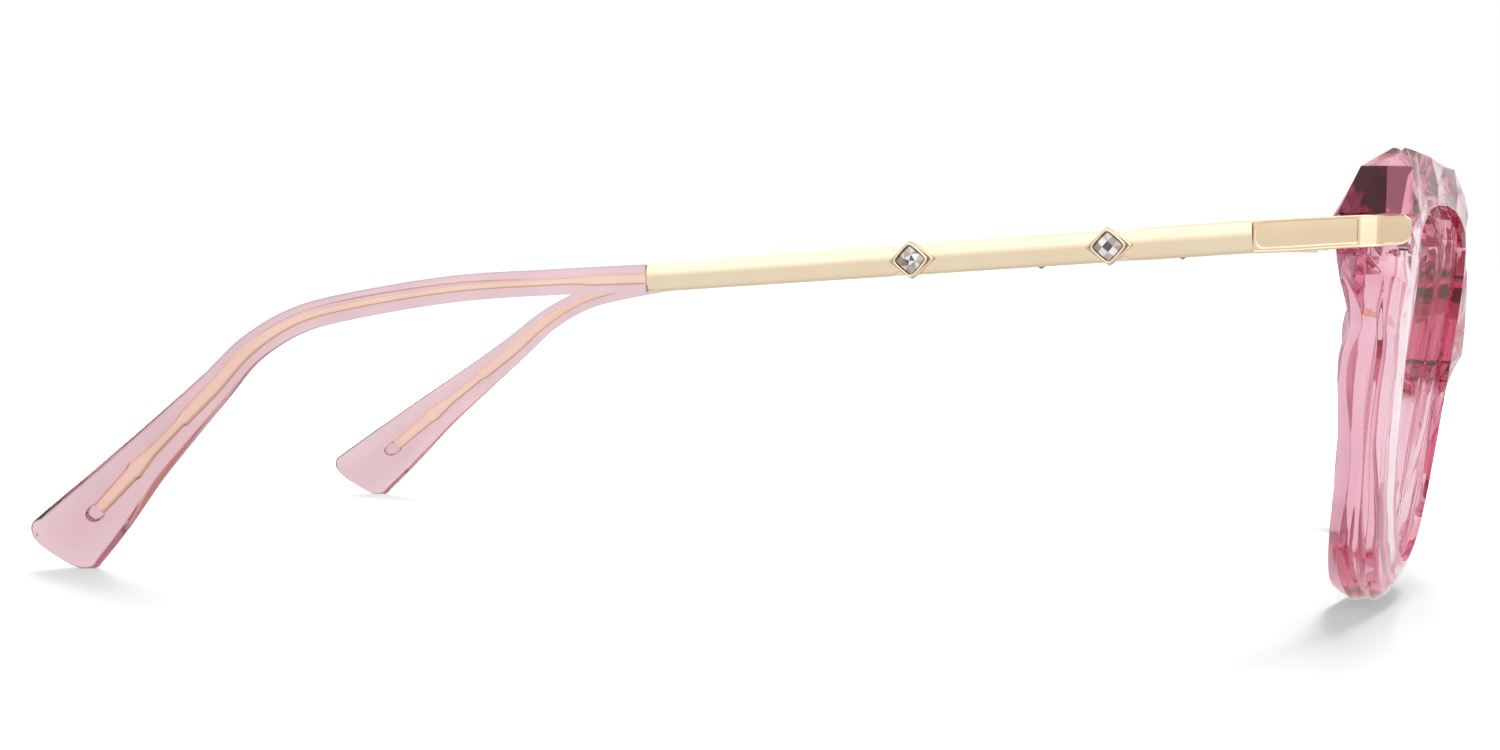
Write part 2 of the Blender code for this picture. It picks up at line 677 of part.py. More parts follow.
def temple_tip(name, side, finish, pivot):
    """The sleeve: in along the channel from its blind end, then out over the paddle's end."""
    path = TipPath(side)
    stations = core_stations()
    channel_end = stations[-1] + CHANNEL_OVERRUN
    thick = CORE_HALF_THICKNESS + CHANNEL_GAP
    sections = [path.section(channel_end, core_half_height(channel_end), thick, 3.5)]
    for d in stations[::-1][:-1]:
        sections.append(path.section(d, core_half_height(d) + CHANNEL_GAP, thick, 3.5))
    sections.append(path.section(0, core_half_height(0) + CHANNEL_GAP, thick, 3.5))
    outer = np.concatenate([[0, 0.2 * MM], np.linspace(4 * MM, 34 * MM, 5),
                            np.linspace(38 * MM, path.length, 15)])
    for d in outer:
        _, _, half, thickness = path.read(d)
        trim = 0.12 * MM if d == 0 else 0.0
        sections.append(path.section(d, half - trim, thickness - trim, 3.2 - d / path.length))
    for shrink, shift in ((0.93, 0.45), (0.75, 0.8)):
        _, _, half, thickness = path.read(path.length)
        sections.append(path.section(path.length, half * shrink, thickness * shrink**2, 2.2,
                                     shift * MM))
    return add_object(name, lofted(sections), finish, pivot, 35)


def main():
    for obj in list(bpy.data.objects):
        bpy.data.objects.remove(obj, do_unlink=True)
    acetate = material("clear_pink_acetate", ACETATE_PINK, 0.0, 0.03, 1.0)
    tip_acetate = material("clear_pale_pink_acetate", TIP_PINK, 0.0, 0.05, 1.0)
    lens_clear = material("lens_clear", CLEAR, 0.0, 0.0, 1.0)
    stone = material("crystal", CLEAR, 0.0, 0.0, 1.0)
    gold = material("champagne_gold", GOLD, 1.0, 0.2)
    rose_gold = material("rose_gold", ROSE_GOLD, 1.0, 0.3)
    screw_metal = material("screw_metal", SCREW_METAL, 1.0, 0.3)

    front_frame(acetate)
    low_split, high_split = KNUCKLE_SPLITS
    front_knuckles = ((KNUCKLE_BOTTOM, low_split - KNUCKLE_GAP),
                      (high_split + KNUCKLE_GAP, KNUCKLE_TOP))
    for word, side in SIDES:
        pivot = bpy.data.objects.new(f"{word}_temple_pivot", None)
        pivot.location = (side * PIN_X, SEAM_Y, SEAM_Z)
        bpy.context.collection.objects.link(pivot)
        lens(f"{word}_lens", side, lens_clear)
        nose_pad(f"{word}_nose_pad", side, acetate)
        end_piece(f"{word}_end_piece", side, gold)
        corner_pin(f"{word}_corner_pin", side, gold)
        hinge_leaf(f"{word}_front_hinge_leaf", side, -1, front_knuckles, gold)
        hinge_screw(f"{word}_hinge_screw", side, screw_metal)
        hinge_leaf(f"{word}_temple_hinge_leaf", side, 1, (KNUCKLE_SPLITS,), gold, pivot)
        temple_bar(f"{word}_temple_bar", side, gold, pivot)
        for place_word, place, _ in BEZEL_PLACES:
            bezel(f"{word}_{place_word}_bezel", side, place, gold, pivot)
            crystal(f"{word}_{place_word}_crystal", side, place, stone, pivot)
        core_wire(f"{word}_core_wire", side, rose_gold, pivot)
        temple_tip(f"{word}_temple_tip", side, tip_acetate, pivot)


main()
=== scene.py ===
"""Visual model of the cat eye glasses: fine surfaces, materials, studio and camera.

Metres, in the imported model's frame: -X is the wearer's right, -Y the way the wearer looks and
+Z up. A depth is measured backwards from the hinge seam.
"""

import json
import math

import bmesh
import bpy
import numpy as np
from mathutils import Matrix, Vector


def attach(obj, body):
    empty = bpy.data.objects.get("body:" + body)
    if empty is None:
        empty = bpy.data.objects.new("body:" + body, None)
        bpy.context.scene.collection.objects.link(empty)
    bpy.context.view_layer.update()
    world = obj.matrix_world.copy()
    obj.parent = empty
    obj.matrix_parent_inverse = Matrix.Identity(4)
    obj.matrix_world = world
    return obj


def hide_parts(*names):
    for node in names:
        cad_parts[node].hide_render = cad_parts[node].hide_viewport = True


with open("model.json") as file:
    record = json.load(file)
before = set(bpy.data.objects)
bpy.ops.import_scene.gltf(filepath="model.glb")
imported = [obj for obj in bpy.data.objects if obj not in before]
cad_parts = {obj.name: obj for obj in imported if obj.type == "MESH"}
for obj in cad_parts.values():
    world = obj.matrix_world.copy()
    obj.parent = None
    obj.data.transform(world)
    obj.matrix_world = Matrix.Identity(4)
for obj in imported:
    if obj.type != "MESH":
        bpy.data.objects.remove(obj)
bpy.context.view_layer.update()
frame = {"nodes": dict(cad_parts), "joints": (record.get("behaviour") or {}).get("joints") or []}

MM = 0.001
SIDES = (("right", -1), ("left", 1))
HINGE = {joint["child"]: Vector(joint["pos_m"]) for joint in frame["joints"]}
SEAM_Y, SEAM_Z = HINGE["left_temple"].yz


def mm(rows):
    return np.array(rows, float) * MM


# --- Mesh helpers --------------------------------------------------------------------------


def add_piece(name, bm, finish, body, replaced, smooth_angle=None, oriented=False):
    """A shown piece that rides on a body and stands for CAD nodes.

    Faces that meet at more than smooth_angle degrees keep a sharp edge between them, and without
    it every face is flat. oriented says that the faces already point outwards.
    """
    if not oriented:
        bmesh.ops.recalc_face_normals(bm, faces=bm.faces)
    mesh = bpy.data.meshes.new(name)
    bm.to_mesh(mesh)
    bm.free()
    if smooth_angle is not None:
        mesh.shade_smooth()
        if smooth_angle < 180:
            mesh.set_sharp_from_angle(angle=math.radians(smooth_angle))
    mesh.materials.append(finish)
    piece = bpy.data.objects.new(name, mesh)
    bpy.context.scene.collection.objects.link(piece)
    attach(piece, body)
    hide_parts(*replaced)
    return piece


def lofted(sections, closed=False):
    """A skin over rings of points, which closes on itself or has a cap at each end."""
    bm = bmesh.new()
    rings = [[bm.verts.new(point) for point in section] for section in sections]
    pairs = list(zip(rings, rings[1:]))
    if closed:
        pairs.append((rings[-1], rings[0]))
    for a, b in pairs:
        for i in range(len(a)):
            j = (i + 1) % len(a)
            bm.faces.new((a[i], a[j], b[j], b[i]))
    if not closed:
        bm.faces.new(rings[0])
        bm.faces.new(rings[-1][::-1])
    return bm


def bevelled(piece, width, segments, angle):
    """Rounds the edges whose faces meet at more than an angle in degrees."""
    modifier = piece.modifiers.new("Bevel", "BEVEL")
    modifier.width = width
    modifier.segments = segments
    modifier.limit_method = "ANGLE"
    modifier.angle_limit = math.radians(angle)
    modifier.harden_normals = True
    modifier.use_clamp_overlap = True


def smooth_path(points, per_span, closed=False):
    """Catmull-Rom curve through the points."""
    points = np.asarray(points, float)
    count = len(points)
    before, after = 2 * points[0] - points[1], 2 * points[-1] - points[-2]

    def at(i):
        if closed:
            return points[i % count]
        if i < 0:
            return before
        return after if i >= count else points[i]

    samples = []
    for i in range(count if closed else count - 1):
        a, b, c, d = at(i - 1), at(i), at(i + 1), at(i + 2)
        for k in range(per_span):
            t = k / per_span
            cubic = (2 * a - 5 * b + 4 * c - d) * t**2 + (3 * b - a - 3 * c + d) * t**3
            samples.append(0.5 * (2 * b + (c - a) * t + cubic))
    if not closed:
        samples.append(points[-1])
    return np.array(samples)


def evenly(points, step):
    """The same broken line with points at equal steps along it."""
    lengths = np.hypot(*np.diff(points[:, :2], axis=0).T)
    along = np.concatenate([[0], np.cumsum(lengths)])
    marks = np.linspace(0, along[-1], round(along[-1] / step) + 1)
    return np.stack([np.interp(marks, along, column) for column in points.T], axis=1)


def eased(points, window):
    """Moving average over an odd number of points, with the two ends kept."""
    half = window // 2
    longer = np.concatenate([2 * points[0] - points[half:0:-1], points,
                             2 * points[-1] - points[-2:-half - 2:-1]])
    share = np.full(window, 1 / window)
    return np.stack([np.convolve(column, share, "valid") for column in longer.T], axis=1)


def smoothstep(low, high, value):
    t = np.clip((value - low) / (high - low), 0, 1)
    return t * t * (3 - 2 * t)


# --- Materials -----------------------------------------------------------------------------


class Nodes:
    """A new material's node tree, with short calls for what is added to it."""

    def __init__(self, name):
        self.material = bpy.data.materials.new(name)
        self.material.use_nodes = True
        self.tree = self.material.node_tree
        self.shader = self.tree.nodes["Principled BSDF"]
        self.output = self.tree.nodes["Material Output"]

    def add(self, kind, **inputs):
        node = self.tree.nodes.new(kind)
        for key, value in inputs.items():
            socket = key.replace("_", " ")
            if socket in node.inputs:
                self.set(node.inputs[socket], value)
            else:
                setattr(node, key, value)
        return node

    def set(self, socket, value):
        if isinstance(value, bpy.types.NodeSocket):
            self.tree.links.new(value, socket)
        elif hasattr(value, "__len__") and len(value) == 3 and socket.type == "RGBA":
            socket.default_value = (*value, 1.0)
        else:
            socket.default_value = value

    def shade(self, **inputs):
        for key, value in inputs.items():
            self.set(self.shader.inputs[key.replace("_", " ")], value)

    def place(self, scale=(1, 1, 1)):
        """Object-space position, scaled per axis."""
        coordinates = self.add("ShaderNodeTexCoord")
        mapping = self.add("ShaderNodeMapping", Vector=coordinates.outputs["Object"])
        mapping.inputs["Scale"].default_value = scale
        return mapping.outputs["Vector"]

    def noise(self, scale, detail=3.0, stretch=(1, 1, 1), roughness=0.5):
        node = self.add("ShaderNodeTexNoise", Vector=self.place(stretch), Scale=scale,
                        Detail=detail, Roughness=roughness)
        return node.outputs["Fac"]

    def ramp(self, factor, stops):
        node = self.add("ShaderNodeValToRGB", Fac=factor)
        elements = node.color_ramp.elements
        while len(elements) < len(stops):
            elements.new(0.5)
        for element, (position, value) in zip(elements, stops):
            element.position = position
            colour = value if hasattr(value, "__len__") else (value,) * 3
            element.color = (*colour, 1.0)
        return node.outputs["Color"]

    def blend(self, colour, other, attribute):
        """The other colour where a mesh attribute is 1."""
        where = self.add("ShaderNodeAttribute", attribute_name=attribute)
        mix = self.add("ShaderNodeMix", data_type="RGBA")
        self.tree.links.new(where.outputs["Fac"], mix.inputs["Factor"])
        self.tree.links.new(colour, mix.inputs["A"])
        mix.inputs["B"].default_value = (*other, 1.0)
        return mix.outputs["Result"]

    def bump(self, height, strength, distance):
        node = self.add("ShaderNodeBump", Height=height, Strength=strength, Distance=distance)
        return node.outputs["Normal"]


# Painted glow of the faces that carry the front's painted shade, by its level from 0 to 1: a pink
# painted glow at half and a faint maroon one at full.
PAINTED_SHADE_GLOW = ((0.0, 0.0), (0.5, (0.22, 0.065, 0.11)), (1.0, (0.022, 0.0, 0.006)))


def clear_acetate(name, absorbed, density, tint, gloss=0.5, painted_shade=None):
    """Clear tinted plastic: the tint deepens with the length of plastic that light crosses.

    stain is painted shade: a dark colour for the faces that a mesh attribute marks, which also get
    a painted glow. It stands in for the dark facet that light crossing far inside the plastic
    gives.
    """
    n = Nodes(name)
    marks = n.noise(900.0, 4.0)
    clouds = n.noise(160.0, 2.0, (1, 1, 0.4))
    colour = n.ramp(clouds, [(0.35, tint), (0.65, tuple(0.93 * c for c in tint))])
    # Painted shade and a painted glow on the faces that a mesh attribute marks.
    if painted_shade:
        colour = n.blend(colour, painted_shade, "painted_shade")
        painted_shade_marks = n.add("ShaderNodeAttribute", attribute_name="painted_shade")
        n.shade(Emission_Color=n.ramp(painted_shade_marks.outputs["Fac"], PAINTED_SHADE_GLOW), Emission_Strength=1.0)
    n.shade(
        Base_Color=colour,
        Roughness=n.ramp(marks, [(0.40, 0.0), (0.80, 0.025)]),
        IOR=1.49,
        Specular_IOR_Level=gloss,
        Transmission_Weight=1.0,
        Normal=n.bump(marks, 0.03, 0.00002),
    )
    volume = n.add("ShaderNodeVolumeAbsorption", Color=absorbed, Density=density)
    n.tree.links.new(volume.outputs["Volume"], n.output.inputs["Volume"])
    return n.material


def plated_metal(name, light, dark, roughness, grain, stretch, painted_hollow_shade=None, painted_glow=None):
    """Plated metal with the faint cloudiness and fine lines that polishing leaves.

    tarnish is painted shade: a dark colour, and the mesh attribute that says where it is painted
    in the crevices and hollows. warmth is a faint painted glow for metal that lies inside tinted
    plastic.
    """
    n = Nodes(name)
    clouds = n.noise(260.0, 3.0)
    lines = n.noise(grain, 5.0, stretch, 0.62)
    low, high = roughness
    colour = n.ramp(clouds, [(0.30, light), (0.72, dark)])
    # Painted shade in the hollows that a mesh attribute marks.
    if painted_hollow_shade:
        colour = n.blend(colour, *painted_hollow_shade)
    n.shade(
        Base_Color=colour,
        Metallic=1.0,
        Roughness=n.ramp(lines, [(0.30, low), (0.72, high)]),
        Normal=n.bump(lines, 0.10, 0.00004),
    )
    # A painted glow, so that the metal looks lit inside the tinted plastic.
    if painted_glow:
        n.shade(Emission_Color=painted_glow, Emission_Strength=1.0)
    return n.material


def coated_glass(name, ior, tint, smear_scale, opacity):
    """Clear glass with faint smears. The opacity, low and high, stands for its coating."""
    n = Nodes(name)
    smears = n.noise(smear_scale, 4.0, (1, 1, 2.0), 0.6)
    n.shade(
        Base_Color=tint,
        Roughness=n.ramp(smears, [(0.45, 0.0), (0.9, 0.02)]),
        IOR=ior,
        Transmission_Weight=1.0,
        Normal=n.bump(smears, 0.02, 0.00002),
        Alpha=n.ramp(smears, [(0.4, opacity[0]), (0.8, opacity[1])]),
    )
    return n.material


def foiled_crystal(name):
    """Cut stone with a mirror foil behind it, and a painted brightness on each facet that stands
    in for the light and shade it reflects.
    """
    n = Nodes(name)
    facet = n.add("ShaderNodeAttribute", attribute_name="facet")
    clouds = n.noise(2500.0, 2.0)
    # From painted shade at 0 to a painted highlight at 1.
    painted_shine = [(0.0, (0.03, 0.03, 0.035)), (0.5, (0.36, 0.30, 0.27)), (1.0, (1.0, 0.99, 0.98))]
    n.shade(
        Base_Color=n.ramp(facet.outputs["Fac"], painted_shine),
        Metallic=0.9,
        Roughness=n.ramp(clouds, [(0.3, 0.04), (0.7, 0.10)]),
        Coat_Weight=1.0,
        Coat_Roughness=0.02,
    )
    return n.material


# The front's stain is painted shade on the lug's large facet, with a painted glow on the strip
# before it.
ACETATE = clear_acetate("faceted_acetate", absorbed=(0.80, 0.0, 0.27), density=119.0,
                        tint=(1.0, 0.89, 0.92), gloss=0.36, painted_shade=(0.12, 0.015, 0.04))
TIP_ACETATE = clear_acetate("tip_acetate", absorbed=(0.59, 0.0, 0.13), density=158.0,
                            tint=(0.96, 0.88, 0.895))
GOLD = plated_metal("champagne_gold", light=(0.95, 0.79, 0.58), dark=(0.92, 0.755, 0.54),
                    roughness=(0.15, 0.22), grain=520.0, stretch=(1, 0.08, 1))
POLISHED_GOLD = plated_metal("polished_gold", light=(0.92, 0.72, 0.51), dark=(0.89, 0.68, 0.47),
                             roughness=(0.05, 0.11), grain=520.0, stretch=(1, 0.3, 1))
# The bezels get painted shade at their foot, in their groove and in the stone's pocket.
BEZEL_GOLD = plated_metal("bezel_gold", light=(0.96, 0.80, 0.60), dark=(0.94, 0.76, 0.56),
                          roughness=(0.05, 0.12), grain=900.0, stretch=(1, 1, 1),
                          painted_hollow_shade=((0.27, 0.155, 0.075), "painted_crevice_shade"))
# The core wire gets a faint painted glow, to look lit inside the clear tips.
ROSE_GOLD = plated_metal("rose_gold_wire", light=(1.0, 0.93, 0.76), dark=(1.0, 0.90, 0.70),
                         roughness=(0.14, 0.24), grain=700.0, stretch=(1, 0.05, 0.05),
                         painted_glow=(0.12, 0.08, 0.05))
SCREW_METAL = plated_metal("screw_metal", light=(0.80, 0.70, 0.55), dark=(0.66, 0.57, 0.43),
                           roughness=(0.22, 0.4), grain=900.0, stretch=(1, 1, 0.1))
LENS_GLASS = coated_glass("lens_glass", ior=1.50, tint=(0.99, 0.975, 0.985), smear_scale=45.0,
                          opacity=(0.05, 0.08))
CRYSTAL = foiled_crystal("foiled_crystal")


# --- Front ---------------------------------------------------------------------------------

FRONT_DEPTH, FRONT_WRAP, FRONT_HALF_WIDTH = -24.0 * MM, 8.3 * MM, 68.0 * MM
FRONT_LEAN, LEAN_FROM_HEIGHT, LEAN_BLEND = math.radians(8.25), 38.0 * MM, 6.0 * MM
FRONT_THICKNESS, INNER_FRONT, INNER_BACK = mm([5.3, 0.4, 5.6])
APERTURE_CENTRE = (36.0 * MM, 24.0 * MM)
SEAT_DEPTH, GROOVE_REACH, GROOVE_MOUTH, GROOVE_FLOOR = mm([2.5, 1.3, 0.95, 0.65])
FLUTE_STARTS, FLUTE_ENDS = mm([0.8, 1.4, 1.1]), mm([1.5, 0.9, 1.9])
PLATE_SEAT_FRONT = (64.2 * MM, -14.9 * MM)
PLATE_SEAT_SIDE_DEPTH, PLATE_SEAT_BACK_STEP = mm([-11.6, 0.8])
LARGE_FACET_FRONT, LARGE_FACET_BACK_STEP, LARGE_FACET_BACK_INSET = mm([-13.0, 0.7, 0.5])
CHAMFER_DEPTH, CHAMFER_INSET = mm([2.6, 1.1])
CAGE_BEVEL = 0.5 * MM

APERTURE = mm([
    (33, 4.3), (45, 6.9), (54.5, 15), (59.8, 26), (61.5, 36.5), (58.5, 42.2), (49, 43.4),
    (35, 42.5), (18.5, 39.2), (10.4, 31.5), (11.2, 20.5), (18.5, 9.0),
])
# Corners of the half outline: across, up, thickness, set-back of the ridge beside the corner.
BRIDGE = mm([(0, 26.2, 6.0, -0.9), (0, 29.5, 6.0, -0.7), (0, 33.0, 5.8, -0.4), (0, 36.4, 5.3, 0)])
BROW = mm([
    (6.0, 38.6, 5.3, 0.8), (12.5, 42.6, 5.3, 1.1), (20, 45.6, 5.3, 0.8), (29.5, 46.8, 5.3, 1.0),
    (39, 47.7, 5.3, 0.7), (48, 48.3, 5.3, 0.9), (57, 48.8, 5.3, 0.6), (63.5, 49.0, 4.9, 0.8),
])
LUG = mm([
    (68.6, 47.0, 6.2, 0.8), (68.6, 42.3, 8.0, 1.1), (67.45, 41.9, 8.0, 0), (67.45, 38.0, 7.3, 0),
    (67.6, 36.2, 6.9, 0.8), (65.7, 31.2, 5.3, 1.1),
])
LOWER_RIM = mm([
    (65.5, 29.2, 6.6, 0.8), (64.6, 24.6, 6.1, 0.6), (62.6, 18.6, 5.5, 1.1),
    (58.4, 11.6, 5.9, 0.9), (52.0, 5.6, 6.7, 1.3), (44.0, 1.6, 7.2, 1.6), (38.5, 0, 6.5, 1.9),
    (32.5, 0, 6.3, 2.0), (26, 0.7, 5.9, 1.9), (18.5, 3.8, 5.5, 2.1), (12.8, 8.8, 5.3, 1.7),
    (9.2, 14.2, 5.3, 1.1), (6.9, 19.8, 5.3, 0.6), (4.6, 23.4, 5.6, 0.3),
])
# Places in a section: these nine are seen, and the four after them line the lens groove.
(FRONT_EDGE, FRONT_FACE, RIDGE, OUTER_FRONT, SIDE_FRONT, SIDE_BACK, OUTER_BACK, BACK_FACE,
 BACK_EDGE) = range(9)


def front_depth(x, z):
    """Depth of the front's surface, which wraps round the face and leans back at the bottom."""
    below = LEAN_FROM_HEIGHT - z
    leaning = (below + math.hypot(below, LEAN_BLEND)) / 2
    bowl = FRONT_WRAP * (x / FRONT_HALF_WIDTH) ** 2
    return FRONT_DEPTH + bowl + math.tan(FRONT_LEAN) * leaning


def polar_angle(x, z):
    return math.atan2(z - APERTURE_CENTRE[1], x - APERTURE_CENTRE[0])


def aperture_table():
    """Radii of the opening's outline about its centre, in order of their angles."""
    curve = smooth_path(APERTURE, 24, closed=True) - APERTURE_CENTRE
    angles = np.arctan2(curve[:, 1], curve[:, 0])
    order = np.argsort(angles)
    return angles[order], np.hypot(curve[:, 0], curve[:, 1])[order]


APERTURE_ANGLES, APERTURE_RADII = aperture_table()


def aperture_point(angle, outset=0.0):
    radius = np.interp(angle, APERTURE_ANGLES, APERTURE_RADII, period=2 * math.pi) + outset
    return (APERTURE_CENTRE[0] + radius * math.cos(angle),
            APERTURE_CENTRE[1] + radius * math.sin(angle))


def front_section(corner, index):
    """Cross-section of the rim between the opening and one corner of the outline."""
    odd, third = index % 2, index % 3
    outer, (thickness, setback) = corner[:2], corner[2:]
    angle = polar_angle(*outer)
    inner = aperture_point(angle)
    groove = aperture_point(angle, GROOVE_REACH)

    def at(place, depth):
        return (place[0], front_depth(*place) + depth, place[1])

    def between(share, depth):
        return at((1 - share) * np.array(inner) + share * np.array(outer), depth)

    def flute(share, inset):
        first, last = setback + FLUTE_STARTS[third], thickness - FLUTE_ENDS[third]
        width = math.dist(inner, outer)
        return between(1 - inset / width, (1 - share) * first + share * last)

    return np.array([
        at(inner, INNER_FRONT),
        between(0.40 + 0.20 * odd, 0.7 * MM * odd + 0.35 * setback),
        between(0.84 + 0.05 * third, setback),
        flute(0, 0),
        flute(0.32 + 0.10 * odd, (0.15 + 0.35 * odd) * MM),
        flute(0.66 - 0.08 * third, 0.12 * MM * third),
        flute(1, 0),
        between(0.74 + 0.10 * odd, thickness),
        at(inner, INNER_BACK),
        at(inner, SEAT_DEPTH + GROOVE_MOUTH),
        at(groove, SEAT_DEPTH + GROOVE_FLOOR),
        at(groove, SEAT_DEPTH - GROOVE_FLOOR),
        at(inner, SEAT_DEPTH - GROOVE_MOUTH),
    ])


def flat_side(section):
    for place in (SIDE_FRONT, SIDE_BACK):
        share = (place - OUTER_FRONT) / (OUTER_BACK - OUTER_FRONT)
        section[place] = (1 - share) * section[OUTER_FRONT] + share * section[OUTER_BACK]
    return section


def bridge_section(corner, index):
    section = front_section(corner, index)
    middle = front_depth(0, corner[1])
    section[RIDGE][1] = section[OUTER_FRONT][1] = middle + corner[3]
    section[BACK_FACE][1] = section[OUTER_BACK][1] = middle + corner[2]
    return flat_side(section)


def plate_seat_section(corner, index):
    """The lug where the end piece lies on it."""
    section = front_section(corner, index)
    height = corner[1]
    front_edge = np.array([*PLATE_SEAT_FRONT, height])
    section[FRONT_FACE] = section[FRONT_EDGE] + 0.3 * (front_edge - section[FRONT_EDGE])
    section[RIDGE] = front_edge
    section[OUTER_FRONT] = (corner[0], PLATE_SEAT_SIDE_DEPTH, height)
    section[OUTER_BACK][1] = section[BACK_FACE][1] - PLATE_SEAT_BACK_STEP
    return flat_side(section)


def large_facet_section(corner, index):
    """The lug's outer face above the end piece: a chamfer, then one large facet behind it."""
    section = front_section(corner, index)
    section[OUTER_BACK][1] = section[BACK_FACE][1] - LARGE_FACET_BACK_STEP
    edge = np.array((corner[0], LARGE_FACET_FRONT, corner[1]))
    section[OUTER_FRONT][0] -= CHAMFER_INSET
    section[OUTER_FRONT][1] = LARGE_FACET_FRONT - CHAMFER_DEPTH
    section[OUTER_BACK][0] -= LARGE_FACET_BACK_INSET
    section[SIDE_FRONT], section[SIDE_BACK] = edge, (edge + section[OUTER_BACK]) / 2
    return section


def over_seat_section(corner, index):
    section = large_facet_section(corner, index)
    section[FRONT_FACE][2] = section[RIDGE][2] = corner[1]
    return section


def painted_shade_level(places):
    """How much painted shade a face above the end piece gets, from the places in a section that it
    spans.
    """
    if places <= {SIDE_FRONT, SIDE_BACK, OUTER_BACK}:
        return 1.0
    return 0.5 if places == {OUTER_FRONT, SIDE_FRONT} else 0.0


def bevel_weight(places, on_leg, on_middle):
    """Share of the cage's bevel that an edge gets, from the places in a section of its ends."""
    if places[0] != places[1]:
        return 0.0 if on_leg or on_middle else 1.0
    if places[0] in (FRONT_EDGE, BACK_EDGE):
        return 0.6
    if places[0] in (SIDE_FRONT, SIDE_BACK):
        return 0.5 if on_leg else 0.3
    return 0.7 if on_leg else 1.0


def make_front():
    """A faceted cage, its edges bevelled more or less, then subdivided."""
    corners = np.concatenate([BRIDGE, BROW, LUG, LOWER_RIM])
    lug = len(BRIDGE) + len(BROW)
    first_of_leg = lug + len(LUG) - 1
    special = dict.fromkeys(range(len(BRIDGE)), bridge_section)
    special.update({lug: large_facet_section, lug + 1: over_seat_section,
                    lug + 2: plate_seat_section, lug + 3: plate_seat_section})
    sections = [special.get(i, front_section)(corner, i) for i, corner in enumerate(corners)]
    bm = lofted(np.array(sections) + (0, SEAM_Y, 0), closed=True)
    station = bm.verts.layers.int.new("station")
    place = bm.verts.layers.int.new("place")
    for number, vert in enumerate(bm.verts):
        vert[station], vert[place] = divmod(number, len(sections[0]))
    tiny = 0.001 * MM
    middle_faces = [f for f in bm.faces if all(abs(v.co.x) < tiny for v in f.verts)]
    bmesh.ops.delete(bm, geom=middle_faces, context="FACES")
    bmesh.ops.delete(bm, geom=[v for v in bm.verts if not v.link_faces], context="VERTS")
    bmesh.ops.mirror(bm, geom=bm.verts[:] + bm.edges[:] + bm.faces[:], axis="X", merge_dist=tiny)
    bmesh.ops.remove_doubles(bm, verts=bm.verts, dist=tiny)
    # Painted shade on the lug's large facet above the end piece, and half of it with a painted
    # glow on the strip before that facet.
    painted_shade = bm.faces.layers.float.new("painted_shade")
    for face in bm.faces:
        stations, places = ({v[layer] for v in face.verts} for layer in (station, place))
        if stations <= {lug, lug + 1, lug + 2}:
            face[painted_shade] = painted_shade_level(places)
    weight = bm.edges.layers.float.new("bevel_weight_edge")
    crease = bm.edges.layers.float.new("crease_edge")
    for edge in bm.edges:
        a, b = edge.verts
        places = (a[place], b[place])
        if max(places) > BACK_EDGE and min(places) != FRONT_EDGE:
            edge[crease] = 1.0
        else:
            on_leg = min(a[station], b[station]) >= first_of_leg
            on_middle = abs(a.co.x) < tiny and abs(b.co.x) < tiny
            edge[weight] = bevel_weight(places, on_leg, on_middle)
    piece = add_piece("acetate_front", bm, ACETATE, "front", ["front_frame"],
                      smooth_angle=180)
    bevel = piece.modifiers.new("Bevel", "BEVEL")
    bevel.limit_method = "WEIGHT"
    bevel.width = CAGE_BEVEL
    bevel.segments = 2
    fine = piece.modifiers.new("Subdivision", "SUBSURF")
    fine.levels = fine.render_levels = 2


def make_lens(name, side):
    angles = np.linspace(-math.pi, math.pi, 120, endpoint=False)

    def ring(share, offset, outset):
        """The opening's outline, scaled about its centre, at an offset from the lens's middle."""
        points = []
        for angle in angles:
            edge = np.array(aperture_point(angle, outset)) - APERTURE_CENTRE
            x, z = APERTURE_CENTRE + share * edge
            points.append((side * x, SEAM_Y + front_depth(x, z) + SEAT_DEPTH + offset, z))
        return points

    inset, reach, half, tongue = mm([-0.3, 1.0, 1.0, 0.4])
    shares = (0.04, 0.2, 0.4, 0.6, 0.8, 0.92, 1.0)
    rows = [ring(share, -half, inset) for share in shares]
    rows += [ring(1.0, -tongue, inset), ring(1.0, -0.6 * tongue, reach),
             ring(1.0, 0.6 * tongue, reach), ring(1.0, tongue, inset)]
    rows += [ring(share, half, inset) for share in shares[::-1]]
    add_piece(f"{name}_clear_lens", lofted(rows), LENS_GLASS, "front", [f"{name}_lens"],
              smooth_angle=30)


PAD_FOOT_X, PAD_FOOT_Z, PAD_RISE, PAD_CLOSING, PAD_BOW = mm([13.4, 12.6, 12.4, 4.3, 1.2])
PAD_GAP, PAD_HALF_THICKNESS, PAD_SPLAY, PAD_PROJECTION = mm([0.35, 1.35, 1.9, 5.4])


def make_nose_pad(name, side):
    """A fin on the back of the front, fullest halfway up and splayed away from the nose."""
    sections = []
    for share in np.linspace(0, 1, 25):
        z = PAD_FOOT_Z + PAD_RISE * share
        swell = math.sin(math.pi * (0.06 + 0.88 * share)) ** 0.6
        x = PAD_FOOT_X - PAD_CLOSING * share - PAD_BOW * math.sin(math.pi * share)
        back = front_depth(x, z) + FRONT_THICKNESS + PAD_GAP
        section = []
        for turn in np.linspace(0, 2 * math.pi, 32, endpoint=False):
            along = 0.5 * (1 - math.cos(turn))
            across = PAD_HALF_THICKNESS * swell * math.sin(turn) * (1.25 - 0.5 * along)
            outwards = PAD_SPLAY * along**2 * swell
            section.append((side * (x + across + outwards),
                            SEAM_Y + back + PAD_PROJECTION * swell * along, z))
        sections.append(section)
    piece = add_piece(f"{name}_moulded_pad", lofted(sections), ACETATE, "front",
                      [f"{name}_nose_pad"], smooth_angle=40)
    bevelled(piece, width=0.25 * MM, segments=3, angle=40)


# --- End pieces ----------------------------------------------------------------------------

